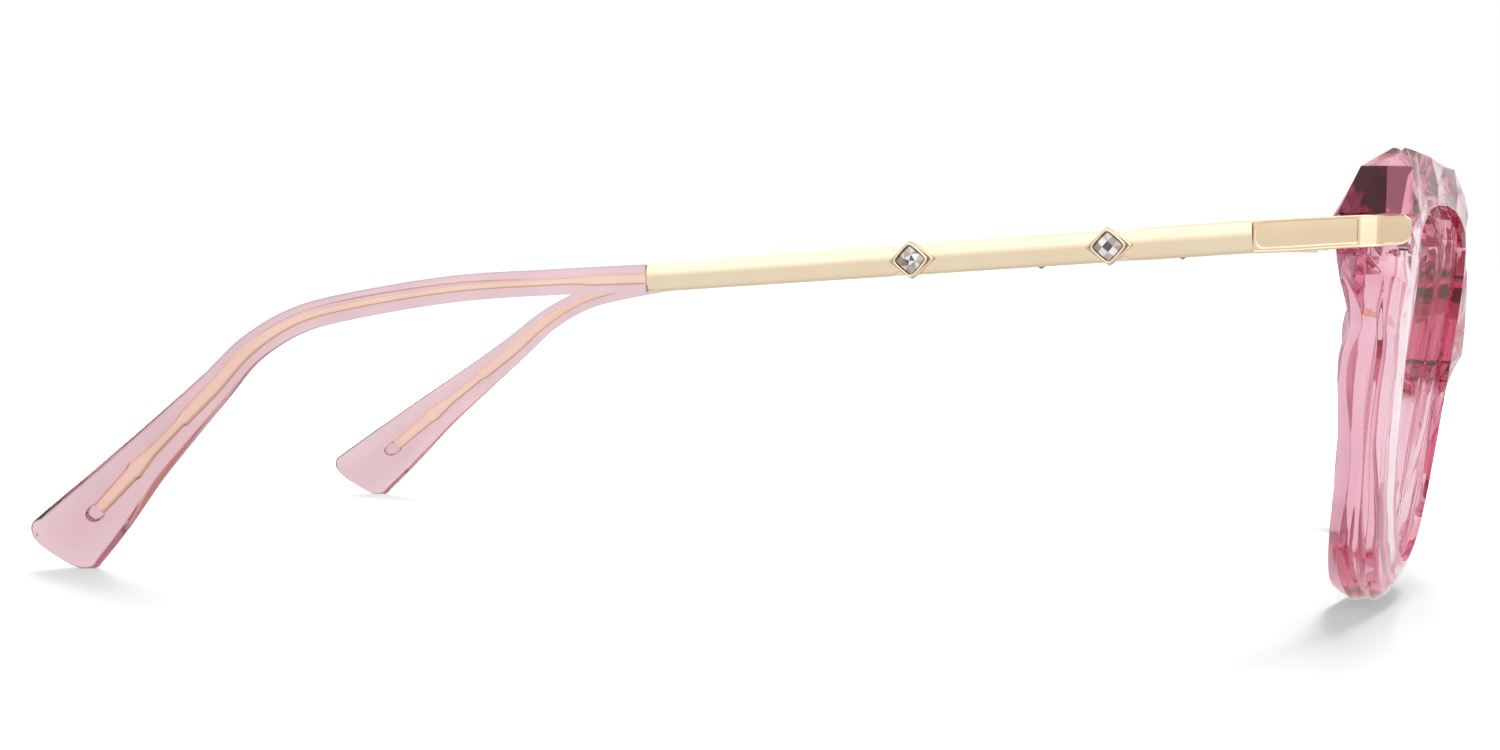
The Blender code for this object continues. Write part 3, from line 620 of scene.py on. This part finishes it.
PLATE_SLOPE = math.tan(math.radians(3.8))
PLATE_SAG, PLATE_SAG_REACH = mm([0.03, 8.0])
PLATE_STEP, PLATE_EDGE_RADIUS, PLATE_BACK_EDGE = mm([0.11, 0.16, 0.1])
SIDE_DISH, CORNER_DISH, PLATE_DISH, DISH_EDGE = mm([0.09, 0.035, 0.05, 0.13])
# How many points of the path are averaged for its places and for its directions.
PATH_WINDOW, DIRECTION_WINDOW = 5, 31
# The outer face's path, front to back: across, depth, half height, thickness.
PLATE = mm([
    (65.2, -15.6, 1.0, 0.95), (65.9, -14.8, 1.55, 1.0), (67.75, -12.62, 1.65, 1.0),
    (67.95, -12.32, 1.65, 1.0), (68.62, -10.6, 1.65, 1.0), (68.68, -10.3, 1.65, 1.0),
    (68.65, -7.6, 1.65, 1.0), (68.6, -6.9, 1.66, 2.35), (68.35, -4.2, 1.70, 2.15),
    (68.05, -0.9, 1.68, 1.85), (68.0, -0.02, 1.66, 1.8),
])
# Each dished panel: depths of its ends, rims above and below it, corner radii at its two ends.
SIDE_PANEL = (*mm([-10.35, -0.2]), *mm([0.20, 0.42]), *mm([0.3, 1.0]))
CORNER_PANEL = (*mm([-13.95, -12.75]), *mm([0.25, 0.25]), *mm([0.3, 0.3]))


def panel_dish(depth, up, half, panel, deepest):
    """How far a dished panel with round corners sinks at a place."""
    low, high, rim_above, rim_below, front_corner, rear_corner = panel
    corner = rear_corner if depth > (low + high) / 2 else front_corner
    out_along = max(0.0, abs(depth - (low + high) / 2) - (high - low) / 2 + corner)
    reach_up = half - (rim_above + rim_below) / 2 - corner
    out_up = max(0.0, abs(up - (rim_below - rim_above) / 2) - reach_up)
    outside = math.hypot(out_along, out_up) - corner
    return deepest * float(smoothstep(0.0, -DISH_EDGE, outside))


def make_end_piece(name, side):
    even = evenly(PLATE, PLATE_STEP)
    rows = eased(even, PATH_WINDOW)
    tangents = np.gradient(eased(even, DIRECTION_WINDOW)[:, :2], axis=0)
    sections = []
    for (x, depth, half, thick), tangent in zip(rows, tangents):
        across, back = tangent / np.hypot(*tangent)
        middle = SEAM_Z - depth * PLATE_SLOPE - PLATE_SAG * max(0.0, 1 + depth / PLATE_SAG_REACH)
        flat = half - PLATE_EDGE_RADIUS
        rounding = [(PLATE_EDGE_RADIUS * (1 - math.sin(turn)),
                     half - PLATE_EDGE_RADIUS * (1 - math.cos(turn)))
                    for turn in np.linspace(0, math.pi / 2, 5)]
        profile = rounding[:]
        for up in np.linspace(flat, -flat, 46)[1:-1]:
            dish = panel_dish(depth, up, half, SIDE_PANEL, SIDE_DISH)
            dish += panel_dish(depth, up, half, CORNER_PANEL, CORNER_DISH)
            profile.append((dish + PLATE_DISH * (up / half) ** 2, up))
        profile += [(inwards, -up) for inwards, up in rounding[::-1]]
        profile += [(thick - PLATE_BACK_EDGE, -half), (thick, PLATE_BACK_EDGE - half),
                    (thick, half - PLATE_BACK_EDGE), (thick - PLATE_BACK_EDGE, half)]
        sections.append([
            (side * (x - back * inwards), SEAM_Y + depth + across * inwards, middle + up)
            for inwards, up in profile
        ])
    piece = add_piece(f"{name}_gold_end_piece", lofted(sections), POLISHED_GOLD, "front",
                      [f"{name}_end_piece"], smooth_angle=38)
    bevelled(piece, width=0.08 * MM, segments=2, angle=60)


# --- Temples -------------------------------------------------------------------------------

SEAM_X, JOINT_X, JOINT_DEPTH, JOINT_Z = mm([68.0, 64.46, 63.1, 34.41])
BAR_START, BAR_THICKNESS, BAR_CROWN, BAR_EDGE = mm([0.07, 1.5, 0.45, 0.15])
BAR_HALF_HEIGHTS = mm([1.65, 1.52])
BAR_ROUNDING, BAR_ROUNDING_DROP = mm([0.22, 0.10])
# Each bezel: its name, its place along the bar and the side of it on which the bar is notched.
BEZEL_PLACES = (("front", 14.45 * MM, -1), ("rear", 34.85 * MM, 1))
# (millimetres from the bezel's middle, share of the bar's height), from the notch's far end.
NOTCH = [(3.2, 1.0), (2.5, 1.0), (2.25, 0.985), (2.05, 0.95), (1.9, 0.90), (1.72, 0.82),
         (1.55, 0.755), (1.45, 0.74), (1.32, 0.765), (0.9, 0.87), (0.3, 1.0)]


class BarFrame:
    """Places on one temple bar: along it, up it, and out from the middle of its outer face."""

    def __init__(self, side):
        self.start = Vector((side * SEAM_X, SEAM_Y, SEAM_Z))
        end = Vector((side * JOINT_X, SEAM_Y + JOINT_DEPTH, JOINT_Z))
        self.length = (end - self.start).length
        self.along = (end - self.start).normalized()
        sideways = Vector((side, 0, 0))
        self.out = (sideways - sideways.dot(self.along) * self.along).normalized()
        self.up = side * self.out.cross(self.along)

    def place(self, along, up, out):
        return self.start + self.along * along + self.up * up + self.out * out

    def half_height(self, along):
        share = along / self.length
        return (1 - share) * BAR_HALF_HEIGHTS[0] + share * BAR_HALF_HEIGHTS[1]


def crown(up, half):
    """How far the bar's outer face falls away towards its edges."""
    return -BAR_CROWN * min(1.0, abs(up) / half) ** 2


def bar_height_shares(length):
    """(place along the bar, share of its height), with round ends and a notch at each bezel."""
    stations = [(BAR_START, 0.90), (BAR_START + 0.06 * MM, 0.95), (BAR_START + 0.2 * MM, 1.0)]
    for _, place, way in BEZEL_PLACES:
        stations += sorted((place + way * offset * MM, share) for offset, share in NOTCH)
    return stations + [(length - 0.6 * MM, 1.0), (length - 0.3 * MM, 0.975),
                       (length - 0.1 * MM, 0.92), (length, 0.83)]


def make_bar(name, side):
    bar = BarFrame(side)
    sections = []
    for along, share in bar_height_shares(bar.length):
        full = bar.half_height(along)
        half = share * full
        outer = []
        for up in np.sin(np.linspace(-1, 1, 25) * math.pi / 2) * half:
            near_edge = max(0.0, abs(up) - (half - BAR_ROUNDING)) / BAR_ROUNDING
            outer.append((up, crown(up, full) - BAR_ROUNDING_DROP * near_edge**2))
        inner = [(half, BAR_EDGE - BAR_THICKNESS), (half - BAR_EDGE, -BAR_THICKNESS),
                 (BAR_EDGE - half, -BAR_THICKNESS), (-half, BAR_EDGE - BAR_THICKNESS)]
        sections.append([bar.place(along, up, out) for up, out in outer + inner])
    add_piece(f"{name}_gold_bar", lofted(sections), GOLD, f"{name}_temple",
              [f"{name}_temple_bar"], smooth_angle=38)


def rounded_rhombus(half_along, half_up, corner=0.16, bulge=0.0):
    """Points round a rhombus that stands on a corner.

    corner is the share of each side that its corners' rounding takes, and bulge the share by
    which its sides stand out.
    """
    tips = [np.array(p, float) for p in ((1, 0), (0, 1), (-1, 0), (0, -1))]
    points = []
    for i, tip in enumerate(tips):
        before, after = tips[i - 1], tips[(i + 1) % 4]
        start, end = tip + corner * (before - tip), tip + corner * (after - tip)
        for t in np.linspace(0, 1, 7):
            points.append((1 - t) ** 2 * start + 2 * t * (1 - t) * tip + t**2 * end)
        following = after + corner * (tip - after)
        for t in (0.25, 0.5, 0.75):
            point = (1 - t) * end + t * following
            points.append(point * (1 + bulge * math.sin(math.pi * t)))
    return [(p[0] * half_along, p[1] * half_up) for p in points]


def make_bezel(name, side, place_word, place):
    """A square base on the bar, a groove, then a round-topped ring about the stone's pocket."""
    bar = BarFrame(side)
    half = bar.half_height(place)
    base, ring, pocket = mm([(2.42, 2.06), (2.00, 1.98), (1.66, 1.64)])

    def at(size, out, bulge=0.0, corner=0.07):
        return [bar.place(place + along, up, out)
                for along, up in rounded_rhombus(*size, corner, bulge)]

    def seat(share):
        return [bar.place(place + along, up, crown(up, half) + 0.18 * MM)
                for along, up in rounded_rhombus(*(share * base))]

    # Each row: a ring of points, and the share of painted shade that it gets, most at the foot of
    # the base, at the foot of the ring and in the pocket.
    rows = [(seat(0.1), 0), (seat(0.4), 0), (seat(0.7), 0), (seat(1.0), 1.0)]
    rows += [(at(base, 0.42 * MM), 0.85), (at(base - 0.02 * MM, 0.60 * MM), 0.35),
             (at(base - 0.07 * MM, 0.70 * MM), 0), (at(base - 0.16 * MM, 0.75 * MM), 0)]
    groove = (base + ring) / 2 - 0.02 * MM
    rows += [(at(groove, 0.75 * MM), 0.3), (at((groove + ring) / 2, 0.74 * MM, 0.01, 0.14), 0.8),
             (at(ring - 0.02 * MM, 0.76 * MM, 0.03, 0.17), 1.0)]
    wall = (ring - pocket).mean() / 2
    for turn in np.linspace(0, math.pi, 9):
        size = (ring + pocket) / 2 + wall * math.cos(turn)
        rows.append((at(size, (1.37 + 0.17 * math.sin(turn)) * MM, 0.03, 0.17),
                     0.6 * abs(math.cos(turn)) ** 4))
    rows += [(at(pocket, 0.9 * MM, 0.02, 0.14), 1.0), (at(pocket, 0.42 * MM, 0.02, 0.14), 1.0)]
    piece = add_piece(f"{name}_{place_word}_gold_bezel", lofted([row for row, _ in rows]),
                      BEZEL_GOLD, f"{name}_temple", [f"{name}_{place_word}_bezel"],
                      smooth_angle=45)
    # Painted shade in the bezel's crevices and pocket, row by row.
    painted_shade_shares = np.repeat([share for _, share in rows], len(rows[0][0]))
    painted_crevice_shade = piece.data.attributes.new("painted_crevice_shade", "FLOAT", "POINT")
    painted_crevice_shade.data.foreach_set("value", painted_shade_shares.astype(np.float32))


# Sizes are shares of a stone's half width, and outs are distances from the bar's outer face.
STONE_HALF = 1.60 * MM
TABLE_SIZE, GIRDLE_SIZE, CULET_SIZE, CORNER_CUT, TABLE_TURN = 0.36, 0.98, 0.2, 0.36, 0.10
CENTRE_OUT, TABLE_OUT, CUT_OUT = mm([1.38, 1.36, 1.16])
RIM_OUT, GIRDLE_OUT, CULET_OUT = mm([1.12, 0.98, 0.5])
# Painted brightness of a stone's facets, painted highlights and painted shade in place of what
# they reflect: four sides and four corners in turn, then those of its table.
PAINTED_FACET_SHINE = {
    "front": ((1.0, 0.64, 0.45, 0.60, 0.98, 0.66, 1.0, 0.62), (0.12, 0.16, 0.10, 0.20)),
    "rear": ((1.0, 0.66, 0.42, 0.62, 0.96, 0.62, 1.0, 0.64), (0.95, 0.20, 0.98, 0.16)),
}


def make_crystal(name, side, place_word, place):
    """A square stone: a table, four sides and four kites, each with its own painted brightness, a
    painted reflection.

    The rear stone's table is turned a little, and its sides are cut in two.
    """
    bar = BarFrame(side)
    corners = np.array(((1, 0), (0, 1), (-1, 0), (0, -1)), float)
    following = np.roll(corners, -1, axis=0)
    rear = place_word == "rear"
    bm = bmesh.new()

    def ring(places, out):
        return [bm.verts.new(bar.place(place + x * STONE_HALF, y * STONE_HALF, out))
                for x, y in places]

    facet = bm.faces.layers.float.new("facet")
    around, table_levels = PAINTED_FACET_SHINE[place_word]

    def face(verts, level):
        bm.faces.new(verts)[facet] = level

    turned = TABLE_TURN if rear else 0.0
    table = ring(TABLE_SIZE * corners + turned * following, TABLE_OUT)
    rim = ring(GIRDLE_SIZE * corners, RIM_OUT)
    girdle = ring(GIRDLE_SIZE * corners, GIRDLE_OUT)
    culet = ring(CULET_SIZE * corners, CULET_OUT)
    near = ring(GIRDLE_SIZE * (corners + CORNER_CUT * (following - corners)), CUT_OUT)
    far = ring(GIRDLE_SIZE * (following + CORNER_CUT * (corners - following)), CUT_OUT)
    # Each facet gets its painted brightness; the rear stone's split sides get a dark half beside a
    # light one.
    for i in range(4):
        j = (i + 1) % 4
        if rear:
            face((table[i], near[i], far[i]), around[2 * i])
            face((table[i], far[i], table[j]), 1.15 - 0.6 * around[2 * i])
        else:
            face((table[i], near[i], far[i], table[j]), around[2 * i])
        face((table[j], far[i], rim[j], near[j]), around[2 * i + 1])
        face((near[i], rim[i], girdle[i], girdle[j], rim[j], far[i]), 0.3)
        face((girdle[i], culet[i], culet[j], girdle[j]), 0.4)
    (centre,) = ring([(0.04, -0.03)], CENTRE_OUT)
    for i in range(4):
        face((table[i], table[(i + 1) % 4], centre), table_levels[i])
    face(culet, 0.3)
    bmesh.ops.recalc_face_normals(bm, faces=bm.faces)
    add_piece(f"{name}_{place_word}_cut_crystal", bm, CRYSTAL,
              f"{name}_temple", [f"{name}_{place_word}_crystal"])


# The tip's path: depth, height, half height, distance from the middle, half thickness.
TIP = mm([
    (63.3, 34.35, 1.52, 63.20, 1.25), (73.2, 33.80, 1.40, 63.05, 1.25),
    (84.5, 32.85, 1.45, 63.10, 1.30), (95.8, 30.85, 1.48, 63.10, 1.35),
    (102.4, 29.00, 1.51, 62.90, 1.40), (107.8, 25.80, 1.64, 62.15, 1.45),
    (112.3, 21.60, 1.96, 60.75, 1.50), (117.4, 17.05, 2.45, 58.70, 1.55),
    (122.6, 12.45, 3.03, 56.50, 1.60), (127.9, 7.50, 3.90, 54.55, 1.60),
    (133.6, 2.40, 4.80, 52.90, 1.50),
])
# How far the last sections lean out of square with the path, by their number in TIP.
PADDLE_TURN = {9: math.radians(-9), 10: math.radians(-21)}
TIP_SIDES, TIP_ROOT_POWER, TIP_POWER_DROP, TIP_END_POWER = 64, 3.2, 0.9, 2.3
TIP_END, TIP_BULGE, TIP_CLEARANCE = mm([0.7, 1.9, 0.02])
# How much smaller the tip is at places just behind the joint.
TIP_ROOT_TRIM = mm([(0.0, 0.14), (0.06, 0.06), (0.16, 0.01)])
# (share of the core's length, half height in millimetres).
CORE_PROFILE = [
    (0.0, 0.60), (0.075, 0.60), (0.105, 0.40), (0.45, 0.40), (0.52, 0.45), (0.60, 0.60),
    (0.70, 0.80), (0.775, 0.80), (0.785, 0.60), (0.86, 0.68), (0.905, 1.05), (0.915, 0.88),
    (1.0, 0.78),
]
CORE_START, CORE_LENGTH, CORE_HALF_THICKNESS = mm([0.25, 74.5, 0.42])
CORE_SIDES, CORE_POWER = 32, 3.4
# The empty end of the core's channel: (distance past the core, half height) in millimetres.
POCKET = [(-0.12, 0.60), (0.0, 0.92), (0.5, 1.02), (1.2, 0.95), (1.8, 0.70), (2.1, 0.3)]
POCKET_SIDES, POCKET_POWER, POCKET_FLATNESS, POCKET_HALF_THICKNESS = 32, 3, 0.6, 0.5
PATH_STEPS, PATH_REACH = 12, 1.2 * MM


class TipPath:
    """The tip's middle line and section size at a distance from the joint."""

    def __init__(self, side):
        self.side = side
        self.rows = smooth_path(TIP, PATH_STEPS)
        steps = np.diff(self.rows[:, [0, 1, 3]], axis=0)
        self.distances = np.concatenate([[0], np.cumsum(np.linalg.norm(steps, axis=1))])
        knots = self.distances[::PATH_STEPS]
        turns = [PADDLE_TURN.get(i, 0.0) for i in range(len(TIP))]
        self.turns = np.interp(self.distances, knots, turns)
        self.length = self.distances[-1]

    def read(self, distance):
        """Centre, direction of the section's height, half height and half thickness."""
        row = [np.interp(distance, self.distances, column) for column in self.rows.T]
        turn = np.interp(distance, self.distances, self.turns)
        ahead, behind = (
            np.array([np.interp(d, self.distances, self.rows[:, i]) for i in (0, 1)])
            for d in (min(distance + PATH_REACH, self.length), max(distance - PATH_REACH, 0))
        )
        back, rise = (ahead - behind) / np.hypot(*(ahead - behind))
        up = Vector((0, -rise, back))
        up.rotate(Matrix.Rotation(turn, 3, "X"))
        depth, z, half, x, thick = row
        return Vector((self.side * x, SEAM_Y + depth, z)), up, half, thick

    def section(self, distance, half, thick, power, sides, shift=0.0):
        """Points round a superellipse, an ellipse at power 2 and squarer above."""
        centre, up, _, _ = self.read(distance)
        points = []
        for turn in np.linspace(0, 2 * math.pi, sides, endpoint=False):
            c, s = math.cos(turn), math.sin(turn)
            across = math.copysign(abs(c) ** (2 / power), c) * thick
            upwards = math.copysign(abs(s) ** (2 / power), s) * half
            points.append(centre + Vector((across, 0, 0)) + up * upwards
                          + up.cross(Vector((1, 0, 0))) * shift)
        return points


def core_half_height(distance):
    shares, halves = np.array(CORE_PROFILE).T
    return float(np.interp((distance - CORE_START) / CORE_LENGTH, shares, halves)) * MM


def make_core(name, side):
    path = TipPath(side)
    marks = [share * CORE_LENGTH + CORE_START for share, _ in CORE_PROFILE]
    stations = sorted(set(marks) | set(np.linspace(marks[0], marks[-1], 150)))
    sections = [path.section(d, core_half_height(d), CORE_HALF_THICKNESS, CORE_POWER, CORE_SIDES)
                for d in stations]
    add_piece(f"{name}_core", lofted(sections), ROSE_GOLD, f"{name}_temple",
              [f"{name}_core_wire"], smooth_angle=50)


def pocket_mesh(path):
    """The walls of the channel's empty end, which face into it."""
    sections = []
    for along, half in POCKET:
        thick = min(POCKET_HALF_THICKNESS, POCKET_FLATNESS * half)
        sections.append(path.section(CORE_START + CORE_LENGTH + along * MM, half * MM, thick * MM,
                                     POCKET_POWER, POCKET_SIDES))
    bm = lofted(sections)
    bmesh.ops.recalc_face_normals(bm, faces=bm.faces)
    bmesh.ops.reverse_faces(bm, faces=bm.faces)
    mesh = bpy.data.meshes.new("pocket")
    bm.to_mesh(mesh)
    bm.free()
    return mesh


def make_tip(name, side):
    path = TipPath(side)
    sections = []
    for d, trim in TIP_ROOT_TRIM:
        _, _, half, thick = path.read(d)
        sections.append(path.section(d, half - trim, thick - trim, TIP_ROOT_POWER, TIP_SIDES))
    shortened = path.length - TIP_END
    for d in np.linspace(0.3 * MM, shortened, 130):
        _, _, half, thick = path.read(d)
        power = TIP_ROOT_POWER - TIP_POWER_DROP * d / path.length
        sections.append(path.section(d, half, thick, power, TIP_SIDES))
    _, _, half, thick = path.read(shortened)
    for turn in np.linspace(0, math.pi / 2, 15)[1:]:
        size = max(math.cos(turn), 0.02) ** 0.5
        sections.append(path.section(shortened, half * size, thick * size, TIP_END_POWER,
                                     TIP_SIDES, TIP_BULGE * math.sin(turn)))
    bm = lofted(sections)
    bmesh.ops.recalc_face_normals(bm, faces=bm.faces)
    bm.from_mesh(pocket_mesh(path))
    for vert in bm.verts:
        vert.co.z = max(vert.co.z, TIP_CLEARANCE)
    add_piece(f"{name}_clear_tip", bm, TIP_ACETATE, f"{name}_temple",
              [f"{name}_temple_tip"], smooth_angle=60, oriented=True)


# --- The whole object ----------------------------------------------------------------------


def finish_hidden_metal(name):
    """The CAD's own pins, leaves and screws, with a bevel and a finish."""
    for node, finish in (("corner_pin", GOLD), ("front_hinge_leaf", GOLD),
                         ("temple_hinge_leaf", GOLD), ("hinge_screw", SCREW_METAL)):
        cad = frame["nodes"][f"{name}_{node}"]
        cad.data.materials.clear()
        cad.data.materials.append(finish)
        bevelled(cad, width=0.06 * MM, segments=2, angle=40)


def make_glasses():
    make_front()
    for name, side in SIDES:
        make_lens(name, side)
        make_nose_pad(name, side)
        make_end_piece(name, side)
        make_bar(name, side)
        for place_word, place, _ in BEZEL_PLACES:
            make_bezel(name, side, place_word, place)
            make_crystal(name, side, place_word, place)
        make_core(name, side)
        make_tip(name, side)
        finish_hidden_metal(name)


# --- Studio --------------------------------------------------------------------------------

FLOOR_REACH = 6.0
# Brightness of the world by the upward and the backward part of a direction, from -1 to 1.
ROOM_BY_HEIGHT = ((-1, 0.45), (-0.85, 0.60), (-0.45, 1.0), (0.55, 1.0), (0.85, 0.85), (1, 0.70))
ROOM_BY_DEPTH = ((-1, 0.45), (-0.75, 0.55), (-0.45, 1.0), (0.90, 1.0), (1, 0.70))
MIRRORED_BY_HEIGHT = ((-1, 0.70), (-0.6, 0.88), (-0.04, 0.87), (0.55, 1.5), (0.9, 1.4), (1, 1.1))
MIRRORED_BY_DEPTH = ((-1, 0.92), (-0.78, 0.97), (-0.71, 1.45), (-0.58, 1.45), (-0.42, 1.0),
                     (0.35, 1.0), (0.75, 0.50), (1, 0.45))
WORLD_ON_FLOOR = 0.26
# Heading, dip and roll.
CAMERA_ANGLES = [math.radians(angle) for angle in (11.15, 2.59, 0.93)]
CAMERA_PLACE = (-0.377463, SEAM_Y - 0.009856, 0.039086)


def make_floor():
    """A pale floor that glows more with the distance, so that it stays white to its edges."""
    floor = bpy.data.meshes.new("studio_floor")
    corners = [(x * FLOOR_REACH, y * FLOOR_REACH, 0)
               for x, y in ((-1, -1), (1, -1), (1, 1), (-1, 1))]
    floor.from_pydata(corners, [], [(0, 1, 2, 3)])
    n = Nodes("studio_floor")
    away = n.add("ShaderNodeVectorMath", operation="LENGTH")
    n.tree.links.new(n.place(), away.inputs["Vector"])
    spread = n.add("ShaderNodeMapRange", Value=away.outputs["Value"], From_Min=0.09, From_Max=0.30,
                   To_Min=0.08)
    n.shade(
        Base_Color=n.ramp(n.noise(3.0), [(0.3, 0.985), (0.7, 0.995)]),
        Roughness=0.9,
        Specular_IOR_Level=0.0,
        Emission_Color=(1, 1, 1),
        Emission_Strength=spread.outputs["Result"],
    )
    floor.materials.append(n.material)
    plane = bpy.data.objects.new("studio_floor", floor)
    bpy.context.scene.collection.objects.link(plane)
    plane.visible_glossy = plane.visible_transmission = False


def make_world():
    """White for the camera, and another brightness for refracted rays, mirrors and the floor."""
    world = bpy.data.worlds.new("studio")
    bpy.context.scene.world = world
    world.use_nodes = True
    tree = world.node_tree
    backdrop = tree.nodes["Background"]
    backdrop.inputs["Color"].default_value = (1, 1, 1, 1)
    backdrop.inputs["Strength"].default_value = 1.0
    path = tree.nodes.new("ShaderNodeLightPath")
    direction = tree.nodes.new("ShaderNodeTexCoord")
    parts = tree.nodes.new("ShaderNodeSeparateXYZ")
    tree.links.new(direction.outputs["Generated"], parts.inputs["Vector"])

    def graded(axis, stops):
        """A grey that changes with one coordinate of the direction, from -1 to 1."""
        reach = tree.nodes.new("ShaderNodeMapRange")
        reach.inputs["From Min"].default_value = -1.0
        tree.links.new(parts.outputs[axis], reach.inputs["Value"])
        bands = tree.nodes.new("ShaderNodeValToRGB")
        bands.color_ramp.interpolation = "EASE"
        tree.links.new(reach.outputs["Result"], bands.inputs["Fac"])
        elements = bands.color_ramp.elements
        while len(elements) < len(stops):
            elements.new(0.5)
        for element, (position, value) in zip(elements, stops):
            element.position = (position + 1) / 2
            element.color = (value, value, value, 1.0)
        return bands.outputs["Color"]

    def surround(by_height, by_depth):
        both = tree.nodes.new("ShaderNodeMix")
        both.data_type = "RGBA"
        both.blend_type = "MULTIPLY"
        both.clamp_result = False
        both.inputs["Factor"].default_value = 1.0
        tree.links.new(graded("Z", by_height), both.inputs["A"])
        tree.links.new(graded("Y", by_depth), both.inputs["B"])
        room = tree.nodes.new("ShaderNodeBackground")
        tree.links.new(both.outputs["Result"], room.inputs["Color"])
        return room.outputs["Background"]

    def choose(ray, yes, no):
        mix = tree.nodes.new("ShaderNodeMixShader")
        tree.links.new(path.outputs[ray], mix.inputs["Fac"])
        tree.links.new(no, mix.inputs[1])
        tree.links.new(yes, mix.inputs[2])
        return mix.outputs["Shader"]

    room = surround(ROOM_BY_HEIGHT, ROOM_BY_DEPTH)
    mirrored = surround(MIRRORED_BY_HEIGHT, MIRRORED_BY_DEPTH)
    on_floor = tree.nodes.new("ShaderNodeBackground")
    on_floor.inputs["Strength"].default_value = WORLD_ON_FLOOR
    shown = choose("Is Camera Ray", backdrop.outputs["Background"],
                   choose("Is Transmission Ray", room,
                          choose("Is Glossy Ray", mirrored, on_floor.outputs["Background"])))
    tree.links.new(shown, tree.nodes["World Output"].inputs["Surface"])


def add_softbox(name, place, aim, size, watts, shadowed):
    """A lamp that stays out of the reflections, and that only the shadowed pieces block."""
    light = bpy.data.lights.new(name, "AREA")
    light.size, light.energy = size, watts
    lamp = bpy.data.objects.new(name, light)
    bpy.context.scene.collection.objects.link(lamp)
    lamp.location = place
    lamp.rotation_mode = "QUATERNION"
    lamp.rotation_quaternion = (Vector(aim) - Vector(place)).to_track_quat("-Z", "Y")
    lamp.visible_glossy = lamp.visible_transmission = False
    blockers = bpy.data.collections.new(f"{name}_blockers")
    for piece in shadowed:
        blockers.objects.link(bpy.data.objects[piece])
    lamp.light_linking.blocker_collection = blockers


def make_lamps():
    """One lamp throws the tips' shadows forwards, and the other the front's backwards."""
    add_softbox("tip_softbox", place=(0.46, 0.25, 0.255), aim=(-0.04, 0.06, 0), size=0.28,
                watts=3.9, shadowed=["right_clear_tip", "left_clear_tip"])
    add_softbox("front_softbox", place=(0.30, -0.155, 0.49), aim=(-0.02, -0.07, 0), size=0.21,
                watts=2.8, shadowed=["acetate_front"])


def make_camera():
    """A long lens close to the ground, off the wearer's right."""
    heading, dip, roll = CAMERA_ANGLES
    forward = Vector((math.cos(heading) * math.cos(dip), math.sin(heading) * math.cos(dip),
                      -math.sin(dip)))
    level_right = forward.cross(Vector((0, 0, 1))).normalized()
    level_up = level_right.cross(forward)
    right = math.cos(roll) * level_right + math.sin(roll) * level_up
    up = -math.sin(roll) * level_right + math.cos(roll) * level_up
    camera = bpy.data.objects.new("camera", bpy.data.cameras.new("camera"))
    bpy.context.scene.collection.objects.link(camera)
    camera.data.sensor_width = 36.0
    camera.data.lens = 73.07
    camera.data.shift_y = -0.0013
    camera.data.clip_start = 0.01
    turn = Matrix((right, up, -forward)).transposed().to_4x4()
    camera.matrix_world = Matrix.Translation(CAMERA_PLACE) @ turn
    bpy.context.scene.camera = camera


def set_light_paths():
    """Enough bounces for light to cross every wall of the clear pieces."""
    light_paths = bpy.context.scene.cycles
    light_paths.max_bounces = 40
    light_paths.transmission_bounces = 40
    light_paths.glossy_bounces = 24
    light_paths.transparent_max_bounces = 16
    light_paths.caustics_refractive = light_paths.caustics_reflective = False


make_glasses()
make_floor()
make_world()
make_lamps()
make_camera()
set_light_paths()
bpy.context.scene.view_settings.view_transform = "Standard"
